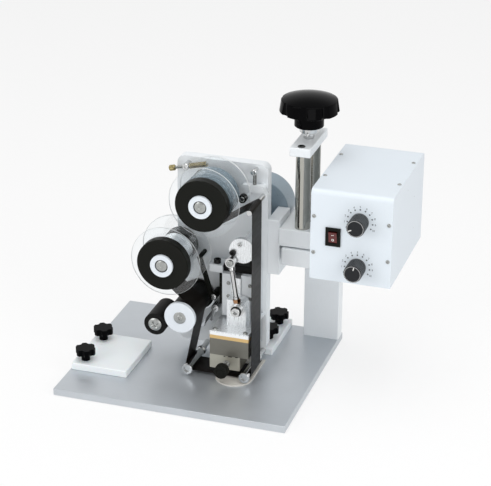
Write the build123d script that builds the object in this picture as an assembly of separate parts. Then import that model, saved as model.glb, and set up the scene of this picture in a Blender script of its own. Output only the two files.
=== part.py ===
import os
from math import asin, atan2, cos, degrees, hypot, pi, sin

from build123d import *

# Frame: origin at the centre of the base plate's underside, +X to the control box, +Y to the column,
# +Z up. All sizes are millimetres.

# Base plate and the column at its right rear corner
BASE_LENGTH = 320.0
BASE_DEPTH = 280.0
BASE_THICK = 10.0
BASE_CHAMFER = 0.8
COLUMN_WIDTH = 50.0
COLUMN_THICK = 20.0
COLUMN_BACK_INSET = 5.0
COLUMN_HEIGHT = 147.0

# Clearances
RUNNING_FIT = 0.05
BODY_GAP = 0.3
LIFT_GAP = 1.5
WORK_GAP = 5.0
PLATE_CLEAR = 1.0
PIVOT_CLEARANCE = 0.8

# Rod seat on the column, guide rods and the bracket over them
SEAT_THICK = 24.0
SEAT_DEPTH = 111.0
ROD_RADIUS = 10.0
ROD_INSET = 34.0
ROD_PITCH = 47.0
ROD_MID_INSET = 69.5
ROD_SOCKET = 18.0
ROD_RISE = 132.0
BRACKET_WIDTH = 28.0
BRACKET_DEPTH = 84.0
BRACKET_THICK = 12.0

# Lead screw and star handwheel
SCREW_RADIUS = 6.0
NUT_RADIUS = 7.5
NUT_HEIGHT = 9.0
COLLAR_RADIUS = 12.5
COLLAR_HEIGHT = 8.0
WHEEL_RADIUS = 39.5
WHEEL_SHOULDER = 37.0
WHEEL_LOBES = 8
WHEEL_TURN = 27.0
WHEEL_FLUTE_RADIUS = 8.0
WHEEL_FLUTE_DEPTH = 4.0
WHEEL_SOFT = 3.0
WHEEL_HUB_RADIUS = 19.5
WHEEL_HUB_HEIGHT = 20.0
WHEEL_RIM_HEIGHT = 16.5
WHEEL_DOME = 7.0
WHEEL_EDGE = 1.5

# Carriage on the rods, the block on its left end, the main plate and the motor behind it
CARRIAGE_THICK = 24.5
CARRIAGE_REACH = 37.5
CARRIAGE_DEPTH = 82.0
CARRIAGE_SIDE = 28.0
MOUNT_WIDTH = 17.0
MOUNT_REACH = 32.5
MOUNT_DEPTH = 47.0
MOUNT_DROP = 45.5
MOUNT_HEIGHT = 79.0
PLATE_LENGTH = 126.0
PLATE_HEIGHT = 271.0
PLATE_THICK = 15.0
PLATE_CORNER = 10.0
GROOVE_WIDTH = 4.0
GROOVE_DEPTH = 2.5
GROOVE_INSET = 8.0
GROOVE_RISE = 13.5
GROOVE_LENGTH = 140.0
GEARBOX_RADIUS = 17.0
MOTOR_RADIUS = 40.0
MOTOR_DEPTH = 34.0
MOTOR_STAND_OFF = 1.0
MOTOR_INSET = 26.0
MOTOR_RISE = 189.0

# Ribbon, its guide pins and spools
RIBBON_WIDTH = 40.0
RIBBON_THICK = 0.5
RIBBON_STAND_OFF = 33.0
RIBBON_GAP = 0.3
PIN_RADIUS = 5.5
PIN_NOSE = 10.0
PIN_COLLAR_RADIUS = 6.8
PIN_COLLAR_OFFSET = 5.0
PIN_COLLAR_THICK = 4.0
PIN_STUD_RADIUS = 4.0
PIN_DROP = 0.5
LEFT_PIN_X = 41.5
RIGHT_PIN_INSET = 4.5
UPPER_PIN_INSET = 2.5
UPPER_PIN_RISE = 233.0
UPPER_PIN_RADIUS = 3.5
SUPPLY_X = 62.8
SUPPLY_RISE = 239.5
TAKEUP_X = 9.0
TAKEUP_RISE = 149.0
SUPPLY_ROLL_RADIUS = 34.5
TAKEUP_ROLL_RADIUS = 23.5
HUB_RADIUS = 15.5
HUB_LENGTH = 3.5
HUB_RECESS_RADIUS = 9.0
HUB_RECESS_DEPTH = 1.5
CAP_RADIUS = 35.5
CAP_LENGTH = 13.0
CAP_EDGE = 1.5
DISC_RADIUS = 48.0
DISC_THICK = 1.5
REAR_DISC_GAP = 2.0
REAR_DISC_THICK = 3.0
BARREL_RADIUS = 12.0
BARREL_SHOULDER = 2.0
CLUTCH_THICK = 20.0
SUPPLY_CLUTCH_RADIUS = 15.0
TAKEUP_CLUTCH_RADIUS = 23.0
SPINDLE_RADIUS = 6.0

# Feed drum, its white disc and the rubber roller
DRUM_X = 30.0
DRUM_RISE = 72.0
DRUM_RADIUS = 19.0
DRUM_NOSE = 2.0
DRUM_FLANGE_RADIUS = 23.0
DRUM_FLANGE_THICK = 2.0
FEED_DISC_RADIUS = 21.5
FEED_DISC_THICK = 5.0
ROLLER_X = -8.0
ROLLER_RISE = 53.0
ROLLER_RADIUS = 15.5
ROLLER_SETBACK = 1.0
ROLLER_LENGTH = 50.0
ARM_PIVOT_X = 14.0
ARM_PIVOT_RISE = 31.0
ARM_WIDTH = 18.0
ARM_STAND_OFF = 21.0
ARM_THICK = 8.0

# Crank, connecting rod and print slide
CRANK_INSET = 20.5
CRANK_RISE = 166.0
CRANK_RADIUS = 17.5
CRANK_STAND_OFF = 47.0
CRANK_THICK = 7.0
CRANK_SHAFT_RADIUS = 9.0
CRANK_PIN_INSET = 33.5
CRANK_PIN_RISE = 151.0
CRANK_PIN_RADIUS = 3.0
CRANK_PIN_NOSE = 1.0
CRANK_EYE_RADIUS = 7.0
CRANK_ROD_GAP = 2.0
ROD_FOOT_INSET = 23.5
ROD_FOOT_RISE = 84.0
ROD_FOOT_RADIUS = 9.5
ROD_EYE_THICK = 8.0
ROD_SHANK_RADIUS = 3.2
FOOT_BOLT_RADIUS = 4.0
FOOT_HEAD_RADIUS = 7.5
FOOT_HEAD_THICK = 4.0
RAIL_THICK = 28.0
RAIL_RISE = 59.0
RAIL_HEIGHT = 62.0
LEFT_RAIL_INSET = 54.0
RIGHT_RAIL_INSET = 12.0
SLOT_HALF = 6.5
TONGUE_HALF = 13.0
LIP_THICK = 12.0
SLIDE_INSET = 34.0
SLIDE_PROUD = 2.0
SLIDE_SHORT = 4.0
BUMPER_THICK = 10.5
BUMPER_SETBACK = 7.0
HEAD_INSET = 3.0
HEAD_LENGTH = 54.0
HEAD_SETBACK = 2.0
HEAD_DEPTH = 40.0
HEAD_DROP = 3.0
HEAD_PLATE_THICK = 2.0
INSULATOR_THICK = 4.0
AMBER_THICK = 5.0
HEATER_HEIGHT = 24.0
TYPE_LENGTH = 42.0
TYPE_HEIGHT = 20.0
TYPE_DEPTH = 30.0
TYPE_BORE_DEPTH = 10.0
TYPE_KNOB_X = 24.0
TYPE_KNOB_RISE = 9.0
TYPE_KNOB_RADIUS = 9.5
TYPE_KNOB_LENGTH = 12.0
TYPE_STEM_RADIUS = 5.0
TYPE_STEM_LENGTH = 16.0
TYPE_SCREW_RADIUS = 3.0

# Ribbon feed levers between the drum and the rails, in front of the main plate
FEED_BLOCK_LENGTH = 19.5
FEED_BLOCK_HEIGHT = 11.5
FEED_BLOCK_DROP = 3.0
FEED_BLOCK_GAP = 1.0
FEED_BAR_WIDTH = 4.5
FEED_SETBACK = 5.0
FEED_BAR_LENGTH = 45.0
LEVER_TOP = (38.5, 137.0)
LEVER_FOOT = (53.8, 83.0)
LEVER_KNOB = (57.9, 81.1)
LEVER_RADIUS = 2.7
LEVER_KNOB_RADIUS = 5.0
LEVER_STUD_RADIUS = 3.0
FORK_EYE = (59.9, 64.3)
FORK_LONG_TIP = (42.8, 36.8)
FORK_SHORT_TIP = (55.0, 46.8)
FORK_EYE_RADIUS = 5.2
FORK_HOLE_RADIUS = 2.2
FORK_PRONG_RADIUS = 2.0
FORK_TIP_RADIUS = 3.0
LEVER_STAND_OFF = 23.0
LEVER_THICK = 5.0

# Sprung guide arm by the upper pin, and the brake screw over the supply roll, whose ends are
# given from the main plate's left edge and down from its upper one
GUIDE_RISE = 241.0
GUIDE_END = 6.0
GUIDE_HALF = 5.0
GUIDE_STAND_OFF = 13.0
GUIDE_THICK = 8.0
PULLEY_INSET = 28.5
PULLEY_RISE = 228.5
PULLEY_RADIUS = 5.5
PULLEY_LENGTH = 8.0
SPRING_INSET = 15.5
SPRING_RISE = 265.0
SPRING_RADIUS = 2.6
POST_RADIUS = 2.5
POST_HEAD_RADIUS = 4.0
POST_HEAD_THICK = 3.0
BRAKE_TIP = (-7.0, 16.0)
BRAKE_END = (46.0, 3.0)
BRAKE_STAND_OFF = 11.0
BRAKE_RADIUS = 2.0
BRAKE_NUT_RADIUS = 4.0
BRAKE_NUT_LENGTH = 8.0
BRAKE_SLEEVE_RADIUS = 3.8
BRAKE_SLEEVE_LENGTH = 26.0
BRAKE_POST_RADIUS = 4.5

# Control box
BOX_WIDTH = 106.5
BOX_REACH = 67.0
BOX_DEPTH = 171.0
BOX_DROP = 7.5
BOX_HEIGHT = 123.5
BOX_SHEET = 2.0
BOX_BEND = 7.0
DIAL_RADIUS = 12.0
DIAL_LENGTH = 24.0
UPPER_DIAL_AT = (64.3, 87.0)
LOWER_DIAL_AT = (62.4, 24.3)
DIAL_SHAFT_RADIUS = 3.0
DIAL_SHAFT_INNER = 8.0
SWITCH_AT = (30.0, 61.5)
SWITCH_WIDTH = 19.5
SWITCH_HEIGHT = 25.0
SWITCH_LIP = 2.0
SWITCH_WALL = 2.0
SWITCH_BODY_DEPTH = 14.0
SWITCH_POCKET_DEPTH = 10.0
ROCKER_CLEARANCE = 0.6
ROCKER_PROUD = 2.5
ROCKER_DIP = 0.5
ROCKER_ROOT = 4.0
ROCKER_TAPER = 0.5
ROCKER_LEAN = 1.5

# Guide blocks, their clamp knobs and the print pad
BLOCK_LENGTH = 79.0
BLOCK_DEPTH = 97.0
BLOCK_THICK = 10.0
LEFT_BLOCK_INSET = 2.5
LEFT_BLOCK_SETBACK = 57.0
RIGHT_BLOCK_INSET = 73.0
RIGHT_BLOCK_SETBACK = 8.0
CLAMP_RADIUS = 13.5
CLAMP_LOBES = 6
CLAMP_FLUTE_RADIUS = 4.5
CLAMP_FLUTE_DEPTH = 2.6
CLAMP_SOFT = 1.2
CLAMP_HEIGHT = 9.0
CLAMP_STEM_RADIUS = 6.0
CLAMP_STEM_HEIGHT = 9.0
CLAMP_INSET = 14.5
CLAMP_REAR = 80.0
LEFT_CLAMP_PITCH = 64.0
RIGHT_CLAMP_PITCH = 48.0
PAD_WIDTH = 50.0
PAD_OFFSET = 34.0
PAD_REACH = 23.0
PAD_LENGTH = 84.0
PAD_THICK = 2.0

# Faces and planes of the frame
LEFT = -BASE_LENGTH / 2
RIGHT = BASE_LENGTH / 2
FRONT = -BASE_DEPTH / 2
BACK = BASE_DEPTH / 2
COLUMN_BACK = BACK - COLUMN_BACK_INSET
SEAT_BOTTOM = BASE_THICK + COLUMN_HEIGHT
SEAT_TOP = SEAT_BOTTOM + SEAT_THICK
SEAT_FRONT = COLUMN_BACK - SEAT_DEPTH
ROD_X = RIGHT - ROD_INSET
ROD_MID_Y = COLUMN_BACK - ROD_MID_INSET
ROD_YS = (ROD_MID_Y - ROD_PITCH / 2, ROD_MID_Y + ROD_PITCH / 2)
BRACKET_BOTTOM = SEAT_TOP + ROD_RISE
BRACKET_TOP = BRACKET_BOTTOM + BRACKET_THICK

# Faces and planes of the head, which hangs on the carriage
CARRIAGE_FRONT = ROD_MID_Y - CARRIAGE_REACH
CARRIAGE_BACK = CARRIAGE_FRONT + CARRIAGE_DEPTH
CARRIAGE_BOTTOM = SEAT_TOP + LIFT_GAP
CARRIAGE_TOP = CARRIAGE_BOTTOM + CARRIAGE_THICK
MOUNT_RIGHT = ROD_X - CARRIAGE_SIDE
MOUNT_LEFT = MOUNT_RIGHT - MOUNT_WIDTH
MOUNT_FRONT = ROD_MID_Y - MOUNT_REACH
MOUNT_BACK = MOUNT_FRONT + MOUNT_DEPTH
MOUNT_BOTTOM = CARRIAGE_BOTTOM - MOUNT_DROP
PLATE_LEFT = MOUNT_LEFT - PLATE_LENGTH
PLATE_BOTTOM = BASE_THICK + BLOCK_THICK + PLATE_CLEAR
PLATE_TOP = PLATE_BOTTOM + PLATE_HEIGHT
PLATE_FRONT = MOUNT_FRONT
PLATE_BACK = PLATE_FRONT + PLATE_THICK
RIBBON_BACK = PLATE_FRONT - RIBBON_STAND_OFF
RIBBON_FRONT = RIBBON_BACK - RIBBON_WIDTH
RAIL_FRONT = PLATE_FRONT - RAIL_THICK
RAIL_BOTTOM = PLATE_BOTTOM + RAIL_RISE
RAIL_TOP = RAIL_BOTTOM + RAIL_HEIGHT
RAIL_LEFT = MOUNT_LEFT - LEFT_RAIL_INSET
RAIL_RIGHT = MOUNT_LEFT - RIGHT_RAIL_INSET
SLIDE_X = MOUNT_LEFT - SLIDE_INSET
CRANK_FRONT = PLATE_FRONT - CRANK_STAND_OFF
ROD_BACK = CRANK_FRONT - CRANK_ROD_GAP
ROD_FRONT = ROD_BACK - ROD_EYE_THICK
HEAD_RIGHT = MOUNT_LEFT - HEAD_INSET
HEAD_LEFT = HEAD_RIGHT - HEAD_LENGTH
HEAD_FRONT = RIBBON_FRONT + HEAD_SETBACK
HEAD_PLATE_TOP = RAIL_BOTTOM - HEAD_DROP
LEVER_FRONT = PLATE_FRONT - LEVER_STAND_OFF
BOX_FRONT = CARRIAGE_FRONT - BOX_REACH
BOX_BACK = BOX_FRONT + BOX_DEPTH
BOX_BOTTOM = CARRIAGE_BOTTOM - BOX_DROP
BOX_TOP = BOX_BOTTOM + BOX_HEIGHT
NODES = {}


def on_plate(x, rise):
    """A point in front view, given from the main plate's lower left corner."""
    return (PLATE_LEFT + x, PLATE_BOTTOM + rise)


def below_top(x, drop):
    """A point in front view, given from the main plate's left edge and down from its upper one."""
    return (PLATE_LEFT + x, PLATE_TOP - drop)


def from_edge(inset, rise):
    """A point in front view, given from the main plate's right edge and its lower one."""
    return (MOUNT_LEFT - inset, PLATE_BOTTOM + rise)


def on_box(place):
    """A point in front view, given from the control box's lower left corner."""
    return (RIGHT + place[0], BOX_BOTTOM + place[1])


SUPPLY = on_plate(SUPPLY_X, SUPPLY_RISE)
TAKEUP = on_plate(TAKEUP_X, TAKEUP_RISE)
DRUM = on_plate(DRUM_X, DRUM_RISE)
ROLLER = on_plate(ROLLER_X, ROLLER_RISE)
ARM_PIVOT = on_plate(ARM_PIVOT_X, ARM_PIVOT_RISE)
LEFT_PIN = on_plate(LEFT_PIN_X, -PIN_DROP)
RIGHT_PIN = from_edge(RIGHT_PIN_INSET, -PIN_DROP)
UPPER_PIN = from_edge(UPPER_PIN_INSET, UPPER_PIN_RISE)
CRANK = from_edge(CRANK_INSET, CRANK_RISE)
CRANK_PIN = from_edge(CRANK_PIN_INSET, CRANK_PIN_RISE)
ROD_FOOT = from_edge(ROD_FOOT_INSET, ROD_FOOT_RISE)
MOTOR = from_edge(MOTOR_INSET, MOTOR_RISE)
UPPER_DIAL = on_box(UPPER_DIAL_AT)
LOWER_DIAL = on_box(LOWER_DIAL_AT)
SWITCH = on_box(SWITCH_AT)


def block(x0, x1, y0, y1, z0, z1):
    """A box between its low and high faces."""
    size = Box(x1 - x0, y1 - y0, z1 - z0)
    return Pos((x0 + x1) / 2, (y0 + y1) / 2, (z0 + z1) / 2) * size


def upright(x, y, z0, z1, radius):
    """A vertical cylinder."""
    return Pos(x, y, (z0 + z1) / 2) * Cylinder(radius, z1 - z0)


def cross(point, y0, y1, radius):
    """A cylinder along Y about a point given as (x, z)."""
    return Pos(point[0], (y0 + y1) / 2, point[1]) * Rot(90, 0, 0) * Cylinder(radius, y1 - y0)


def front_sketch(y):
    """The plane of a front view at depth y: its x is +X, its y is +Z and it faces the viewer."""
    return Plane(origin=(0, y, 0), x_dir=(1, 0, 0), z_dir=(0, -1, 0))


def panel(outline, y0, y1):
    """A front-view outline made solid from its front face y0 to its back face y1."""
    return extrude(front_sketch(y1) * outline, y1 - y0)


def lobed(radius, lobes, flute, depth, soft):
    """A star grip's outline: wide lobes with round hollows between them and softened corners."""
    outline = Circle(radius)
    for i in range(lobes):
        turn = 360 * (i + 0.5) / lobes
        outline -= Rot(0, 0, turn) * Pos(radius + flute - depth, 0) * Circle(flute)
    return fillet(outline.vertices(), soft)


def hull_link(a, b, radius):
    """A flat link's outline: two round ends joined by straight sides."""
    middle = Pos((a[0] + b[0]) / 2, (a[1] + b[1]) / 2)
    length = hypot(b[0] - a[0], b[1] - a[1])
    turn = degrees(atan2(b[1] - a[1], b[0] - a[0]))
    return middle * Rot(0, 0, turn) * SlotCenterToCenter(length, 2 * radius)


def keep(name, solid):
    solid.label = name
    NODES[name] = solid


def make_frame():
    base = block(LEFT, RIGHT, FRONT, BACK, 0, BASE_THICK)
    base = chamfer(base.edges(), BASE_CHAMFER)
    keep("base_plate", base)
    column = block(
        RIGHT - COLUMN_WIDTH, RIGHT, COLUMN_BACK - COLUMN_THICK, COLUMN_BACK, BASE_THICK, SEAT_BOTTOM
    )
    keep("column", chamfer(column.edges().filter_by(Axis.Z), BASE_CHAMFER))

    seat = block(
        MOUNT_RIGHT + WORK_GAP, RIGHT - WORK_GAP, SEAT_FRONT, COLUMN_BACK, SEAT_BOTTOM, SEAT_TOP
    )
    seat = chamfer(seat.edges(), BASE_CHAMFER)
    for y in ROD_YS:
        seat -= upright(ROD_X, y, SEAT_TOP - ROD_SOCKET, SEAT_TOP, ROD_RADIUS + RUNNING_FIT)
    seat -= upright(ROD_X, ROD_MID_Y, SEAT_TOP - ROD_SOCKET, SEAT_TOP, SCREW_RADIUS + RUNNING_FIT)
    keep("rod_seat", seat)

    for name, y in zip(("front_rod", "rear_rod"), ROD_YS):
        keep(name, upright(ROD_X, y, SEAT_TOP - ROD_SOCKET, BRACKET_BOTTOM, ROD_RADIUS))
    bracket = block(
        ROD_X - BRACKET_WIDTH / 2,
        ROD_X + BRACKET_WIDTH / 2,
        ROD_MID_Y - BRACKET_DEPTH / 2,
        ROD_MID_Y + BRACKET_DEPTH / 2,
        BRACKET_BOTTOM,
        BRACKET_TOP,
    )
    bracket = chamfer(bracket.edges(), BASE_CHAMFER)
    bracket -= upright(ROD_X, ROD_MID_Y, BRACKET_BOTTOM, BRACKET_TOP, SCREW_RADIUS + RUNNING_FIT)
    keep("top_bracket", bracket)


def make_lift_screw():
    nut_bottom = BRACKET_TOP + BODY_GAP
    nut_top = BRACKET_TOP + NUT_HEIGHT
    collar_top = nut_top + COLLAR_HEIGHT
    screw = upright(ROD_X, ROD_MID_Y, SEAT_TOP - ROD_SOCKET + BODY_GAP, collar_top, SCREW_RADIUS)
    screw += upright(ROD_X, ROD_MID_Y, nut_bottom, nut_top, NUT_RADIUS)
    screw += upright(ROD_X, ROD_MID_Y, nut_top, collar_top, COLLAR_RADIUS)
    keep("lead_screw", screw)

    # Star grip: a turned, domed blank whose rim takes the lobes of an upright prism
    hub_top = collar_top + WHEEL_HUB_HEIGHT
    rim_top = hub_top + WHEEL_RIM_HEIGHT
    dome_top = rim_top + WHEEL_DOME
    side = Polyline((0, dome_top), (0, hub_top), (WHEEL_RADIUS, hub_top), (WHEEL_SHOULDER, rim_top))
    dome = TangentArc((0, dome_top), (WHEEL_SHOULDER, rim_top), tangent=(1, 0))
    rim = revolve(Plane.XZ * make_face(side + dome))
    rim = fillet(rim.edges().filter_by(GeomType.CIRCLE), WHEEL_EDGE)
    outline = lobed(WHEEL_RADIUS, WHEEL_LOBES, WHEEL_FLUTE_RADIUS, WHEEL_FLUTE_DEPTH, WHEEL_SOFT)
    star = extrude(Rot(0, 0, WHEEL_TURN) * outline, dome_top - hub_top)
    star = Pos(0, 0, hub_top) * star
    hub = upright(0, 0, collar_top, hub_top, WHEEL_HUB_RADIUS)
    hub = chamfer(hub.edges().group_by(Axis.Z)[0], BASE_CHAMFER)
    keep("handwheel", Pos(ROD_X, ROD_MID_Y) * (hub + (rim & star)))


def make_head_frame():
    carriage = block(
        MOUNT_RIGHT, RIGHT, CARRIAGE_FRONT, CARRIAGE_BACK, CARRIAGE_BOTTOM, CARRIAGE_TOP
    )
    carriage = chamfer(carriage.edges(), BASE_CHAMFER)
    for y in ROD_YS:
        carriage -= upright(ROD_X, y, CARRIAGE_BOTTOM, CARRIAGE_TOP, ROD_RADIUS + RUNNING_FIT)
    carriage -= upright(ROD_X, ROD_MID_Y, CARRIAGE_BOTTOM, CARRIAGE_TOP, SCREW_RADIUS + RUNNING_FIT)
    keep("carriage", carriage)

    mount_top = MOUNT_BOTTOM + MOUNT_HEIGHT
    mount = block(MOUNT_LEFT, MOUNT_RIGHT, MOUNT_FRONT, MOUNT_BACK, MOUNT_BOTTOM, mount_top)
    keep("mount_block", chamfer(mount.edges(), BASE_CHAMFER))

    outline = RectangleRounded(PLATE_LENGTH, PLATE_HEIGHT, PLATE_CORNER)
    centre = Pos(PLATE_LEFT + PLATE_LENGTH / 2, (PLATE_TOP + PLATE_BOTTOM) / 2)
    plate = panel(centre * outline, PLATE_FRONT, PLATE_BACK)
    for point in (SUPPLY, TAKEUP, DRUM, CRANK):
        plate -= cross(point, PLATE_FRONT, PLATE_BACK, SPINDLE_RADIUS + RUNNING_FIT)
    low = from_edge(GROOVE_INSET, GROOVE_RISE)
    high = from_edge(GROOVE_INSET, GROOVE_RISE + GROOVE_LENGTH)
    groove = hull_link(low, high, GROOVE_WIDTH / 2)
    plate -= panel(groove, PLATE_FRONT, PLATE_FRONT + GROOVE_DEPTH)
    keep("main_plate", plate)

    motor_front = MOUNT_BACK + MOTOR_STAND_OFF
    motor = cross(MOTOR, motor_front, motor_front + MOTOR_DEPTH, MOTOR_RADIUS)
    keep("drive_motor", chamfer(motor.edges(), BASE_CHAMFER))
    keep("motor_gearbox", cross(MOTOR, PLATE_BACK, motor_front, GEARBOX_RADIUS))


def make_spool(prefix, centre, roll_radius, clutch_radius):
    cap_back = RIBBON_FRONT - DISC_THICK
    cap_front = cap_back - CAP_LENGTH
    hub_front = cap_front - HUB_LENGTH
    rear_disc = RIBBON_BACK + REAR_DISC_GAP
    rear_back = rear_disc + REAR_DISC_THICK
    plate_gap = PLATE_FRONT - BODY_GAP
    neck = BARREL_RADIUS - BARREL_SHOULDER
    hub = cross(centre, hub_front, cap_front, HUB_RADIUS)
    hub -= cross(centre, hub_front, hub_front + HUB_RECESS_DEPTH, HUB_RECESS_RADIUS)
    keep(prefix + "_hub", hub)
    cap = cross(centre, cap_front, cap_back, CAP_RADIUS)
    cap = fillet(cap.edges().group_by(Axis.Y)[0], CAP_EDGE)
    cap += cross(centre, cap_back, rear_disc, BARREL_RADIUS)
    cap += cross(centre, rear_disc, plate_gap, neck)
    cap += cross(centre, rear_back, rear_back + CLUTCH_THICK, clutch_radius)
    cap += cross(centre, plate_gap, PLATE_BACK, SPINDLE_RADIUS)
    keep(prefix + "_cap", cap)
    bore = BARREL_RADIUS + 2 * RUNNING_FIT
    disc = cross(centre, cap_back, RIBBON_FRONT, DISC_RADIUS)
    keep(prefix + "_front_disc", disc - cross(centre, cap_back, RIBBON_FRONT, bore))
    roll = cross(centre, RIBBON_FRONT, RIBBON_BACK, roll_radius)
    keep(prefix + "_ribbon", roll - cross(centre, RIBBON_FRONT, RIBBON_BACK, bore))
    disc = cross(centre, rear_disc, rear_back, DISC_RADIUS)
    keep(prefix + "_rear_disc", disc - cross(centre, rear_disc, rear_back, neck + 2 * RUNNING_FIT))


def make_rollers():
    plate_gap = PLATE_FRONT - BODY_GAP
    drum_front = RIBBON_FRONT - DRUM_NOSE
    flange_front = plate_gap - DRUM_FLANGE_THICK
    drum = cross(DRUM, drum_front, flange_front, DRUM_RADIUS)
    drum += cross(DRUM, flange_front, plate_gap, DRUM_FLANGE_RADIUS)
    drum += cross(DRUM, plate_gap, PLATE_BACK, SPINDLE_RADIUS)
    keep("feed_drum", drum)
    keep("feed_disc", cross(DRUM, drum_front - FEED_DISC_THICK, drum_front, FEED_DISC_RADIUS))

    roller_front = RIBBON_FRONT + ROLLER_SETBACK
    roller_back = roller_front + ROLLER_LENGTH
    arm_front = PLATE_FRONT - ARM_STAND_OFF
    arm_back = arm_front + ARM_THICK
    roller = cross(ROLLER, roller_front, roller_back, ROLLER_RADIUS)
    roller += cross(ROLLER, roller_back, arm_back, SPINDLE_RADIUS)
    keep("pinch_roller", roller)
    arm = panel(hull_link(ROLLER, ARM_PIVOT, ARM_WIDTH / 2), arm_front, arm_back)
    arm += cross(ARM_PIVOT, arm_back, PLATE_FRONT, ARM_WIDTH / 2)
    arm -= cross(ROLLER, arm_front, arm_back, SPINDLE_RADIUS + RUNNING_FIT)
    keep("roller_arm", arm)


def make_pins():
    pin_front = RIBBON_FRONT - PIN_NOSE
    collar_front = RIBBON_BACK + PIN_COLLAR_OFFSET
    collar_back = collar_front + PIN_COLLAR_THICK
    for name, point in (("lower_left_pin", LEFT_PIN), ("lower_right_pin", RIGHT_PIN)):
        pin = cross(point, pin_front, collar_front, PIN_RADIUS)
        pin = chamfer(pin.edges().group_by(Axis.Y)[0], BASE_CHAMFER)
        pin += cross(point, collar_front, collar_back, PIN_COLLAR_RADIUS)
        pin += cross(point, collar_back, PLATE_FRONT, PIN_STUD_RADIUS)
        keep(name, pin)
    keep("upper_guide_pin", cross(UPPER_PIN, RIBBON_FRONT, PLATE_FRONT, UPPER_PIN_RADIUS))


def tangent(c1, r1, c2, r2):
    """Where a path that goes round circle 1 then circle 2 touches each. A radius is positive
    where the path turns left round its circle, and negative where it turns right."""
    dx, dz = c2[0] - c1[0], c2[1] - c1[1]
    heading = atan2(dz, dx) - asin((r2 - r1) / hypot(dx, dz))
    side = heading - pi / 2
    first = (c1[0] + r1 * cos(side), c1[1] + r1 * sin(side))
    second = (c2[0] + r2 * cos(side), c2[1] + r2 * sin(side))
    return first, second, heading


def make_ribbon():
    stand_off = RIBBON_GAP + RIBBON_THICK / 2
    stops = [
        (SUPPLY, SUPPLY_ROLL_RADIUS + stand_off),
        (UPPER_PIN, -(UPPER_PIN_RADIUS + stand_off)),
        (RIGHT_PIN, -(PIN_RADIUS + stand_off)),
        (LEFT_PIN, -(PIN_RADIUS + stand_off)),
        (DRUM, DRUM_RADIUS + stand_off),
        (TAKEUP, -(TAKEUP_ROLL_RADIUS + stand_off)),
    ]
    runs = [tangent(*a, *b) for a, b in zip(stops, stops[1:])]
    edges = []
    for (start, end, heading), nxt, (centre, radius) in zip(runs, runs[1:] + [None], stops[1:]):
        edges.append(Line(start, end))
        if nxt:
            turn = (nxt[2] - heading + pi) % (2 * pi) - pi
            half = heading - pi / 2 + turn / 2
            middle = (centre[0] + radius * cos(half), centre[1] + radius * sin(half))
            edges.append(ThreePointArc(end, middle, nxt[0]))
    band = trace(Wire(edges), RIBBON_THICK)
    keep("ribbon", panel(band, RIBBON_FRONT, RIBBON_BACK))


def make_crank_and_rod():
    crank_back = CRANK_FRONT + CRANK_THICK
    plate_gap = PLATE_FRONT - BODY_GAP
    crank = cross(CRANK, CRANK_FRONT, crank_back, CRANK_RADIUS)
    crank += cross(CRANK_PIN, CRANK_FRONT, crank_back, CRANK_EYE_RADIUS)
    crank += cross(CRANK, crank_back, plate_gap, CRANK_SHAFT_RADIUS)
    crank += cross(CRANK, plate_gap, PLATE_BACK, SPINDLE_RADIUS)
    crank += cross(CRANK_PIN, ROD_FRONT - CRANK_PIN_NOSE, CRANK_FRONT, CRANK_PIN_RADIUS)
    keep("crank_disc", crank)

    rod = cross(ROD_FOOT, ROD_FRONT, ROD_BACK, ROD_FOOT_RADIUS)
    rod += cross(CRANK_PIN, ROD_FRONT, ROD_BACK, CRANK_EYE_RADIUS)
    dx, dz = CRANK_PIN[0] - ROD_FOOT[0], CRANK_PIN[1] - ROD_FOOT[1]
    lean = degrees(atan2(dx, dz))
    middle_y = (ROD_FRONT + ROD_BACK) / 2
    middle = Pos((CRANK_PIN[0] + ROD_FOOT[0]) / 2, middle_y, (CRANK_PIN[1] + ROD_FOOT[1]) / 2)
    rod += middle * Rot(0, lean, 0) * Cylinder(ROD_SHANK_RADIUS, hypot(dx, dz))
    rod -= cross(CRANK_PIN, ROD_FRONT, ROD_BACK, CRANK_PIN_RADIUS + PIVOT_CLEARANCE)
    rod -= cross(ROD_FOOT, ROD_FRONT, ROD_BACK, FOOT_BOLT_RADIUS + RUNNING_FIT)
    keep("connecting_rod", rod)


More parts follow.
